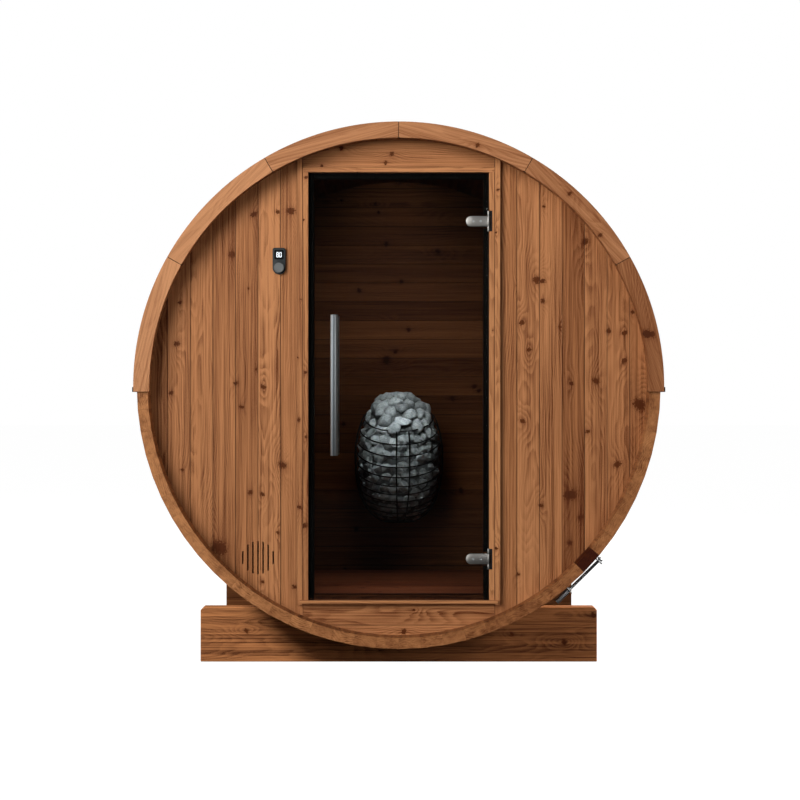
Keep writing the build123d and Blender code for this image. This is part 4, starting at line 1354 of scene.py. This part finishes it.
# ---------- camera, light and floor
EYE_HEIGHT = 1.043
EYE_BACK = 6.3  # from the front wall's face to the lens
HALF_VIEW = 400 / 1615  # tangent of half the angle of view
AMBIENT = 0.085
PANEL_WAY = (-0.79, -0.20, 0.58)  # where steel and glass mirror a bright panel
WARM = (1.0, 0.98, 0.94)
MILD = (1.0, 0.98, 0.96)
APART = ("cradle_front_wood", "cradle_rear_wood", "pull_bar_outside_steel")  # these have lamps of their own
ROOM_TOP = ("back_wall_boards", "staves_2_boards", "staves_3_boards")
HEAP = ("heater_stone_heap", "heater_cage_wires")
MIDDLE = (0, 0, 1.1)
LAMPS = (
    # name, place, size, power, colour, aim, spread in degrees, and which pieces it lights
    ("low_key", (-6.0, -10.0, 4.0), 7.0, 915, WARM, MIDDLE, 180, "EXCLUDE", APART),
    ("near_key", (-2.1, -3.9, 2.8), 2.4, 8.5, WARM, (0.0, -0.645, 2.05), 60, "EXCLUDE", APART),
    ("high_key", (-5.8, -5.9, 6.8), 2.0, 1560, (0.92, 1.0, 1.04), MIDDLE, 180, "INCLUDE", APART[:1]),
    ("rear_key", (-6.0, -10.0, 4.0), 5.0, 330, WARM, MIDDLE, 180, "INCLUDE", APART[1:2]),
    ("bar_key", (-5.6, -2.4, 1.5), 2.2, 25, (0.94, 0.98, 1.0), (-0.25, -0.7, 1.1), 180, "INCLUDE", APART[2:]),
    ("rim", (4.0, -0.95, 3.0), 0.8, 330, WARM, (0.7, -0.5, 0.2), 180, "INCLUDE",
     (APART[0], "band_bolt_front_steel")),
    ("fill", (4.6, -8.5, 2.6), 2.5, 100, MILD, MIDDLE, 180, "EXCLUDE", ()),
    ("back", (2.5, 5.0, 4.5), 3.0, 300, MILD, MIDDLE, 180, "EXCLUDE", ()),
    ("room", (-0.05, -0.45, 1.80), 0.30, 0.85, (1.0, 0.93, 0.84), (0.0, 0.60, 1.33), 72, "EXCLUDE", ()),
    ("deck", (0.0, -0.48, 1.10), 0.20, 1.2, (1.0, 0.90, 0.84), (0.0, -0.10, 0.25), 100, "INCLUDE", ("floor_deck",)),
    ("heap", (-0.05, -0.36, 1.42), 0.14, 0.6, (0.95, 0.98, 1.0), (0.0, 0.33, 0.84), 42, "INCLUDE", HEAP),
    ("crown", (0.0, -0.40, 1.86), 0.20, 0.06, (1.0, 0.90, 0.78), (0.0, 0.60, 1.97), 36, "INCLUDE", ROOM_TOP),
)


def studio():
    """The camera, a pale floor and soft light from the upper left."""
    scene = bpy.context.scene
    scene.view_settings.view_transform = "Standard"
    lens = bpy.data.cameras.new("camera")
    lens.sensor_width = 36
    lens.lens = lens.sensor_width / 2 / HALF_VIEW
    lens.clip_end = 100
    camera = placed("camera", lens)
    camera.location = (0.005, WALL_LOW.y - EYE_BACK, EYE_HEIGHT)
    camera.rotation_euler = (pi / 2, 0, 0)
    scene.camera = camera
    studio_floor()
    scene.world = surroundings()
    for row in LAMPS:
        lamp(*row)


def surroundings():
    """A world that is white to the eye, dim to the object, and mirrored as one bright panel."""
    world = bpy.data.worlds.new("studio")
    world.use_nodes = True
    tree = world.node_tree
    rays = add("LightPath", tree=tree)
    heading = add("TexCoord", tree=tree)["Generated"]
    toward = add("VectorMath", {0: heading, 1: PANEL_WAY}, operation="DOT_PRODUCT")["Value"]
    mirrored = rays["Is Glossy Ray"] * (toward.span(0.35, 1.0, 0.01, 1.1) - AMBIENT)
    strength = mirrored + rays["Is Camera Ray"] * (1.0 - AMBIENT) + AMBIENT
    feed(tree.nodes["Background"], {"Strength": strength, "Color": (1, 1, 1)})
    return world


def studio_floor():
    """A wide pale floor, evenly bright to the eye, that still takes a soft shadow."""
    bm = bmesh.new()
    bmesh.ops.create_grid(bm, x_segments=1, y_segments=1, size=60)
    made, tree, shader = material("studio_floor")
    rays = add("LightPath", tree=tree)
    pale = rays["Is Glossy Ray"].line(-0.22, 0.25)
    feed(shader, {
        "Base Color": add("CombineColor", {0: pale, 1: pale, 2: pale}),
        "Roughness": 1.0,
        "Specular IOR Level": 0.0,
        "Emission Color": (1, 1, 1),
        "Emission Strength": rays["Is Camera Ray"] * 0.97,
    })
    ground = placed("studio_floor", written(bm, "studio_floor"))
    ground.data.materials.append(made)


def lamp(name, spot, size, power, colour, aim, spread, state, pieces):
    """A square soft light aimed at a point, which lights these pieces alone, or everything but them."""
    data = bpy.data.lights.new(name, "AREA")
    data.size = size
    data.energy = power
    data.color = colour
    data.spread = radians(spread)
    light = placed(name, data)
    light.location = spot
    light.rotation_euler = (Vector(aim) - Vector(spot)).to_track_quat("-Z", "Y").to_euler()
    if pieces:
        group = bpy.data.collections.new(f"{name}_pieces")
        for piece in pieces:
            group.objects.link(bpy.data.objects[piece])
        for member in group.collection_objects:
            member.light_linking.link_state = state
        light.light_linking.receiver_collection = group


# ---------- building it
staves()
end_walls()
woodwork()
arch_trims()
roof()
bands()
door()
control_unit()
heater()
studio()
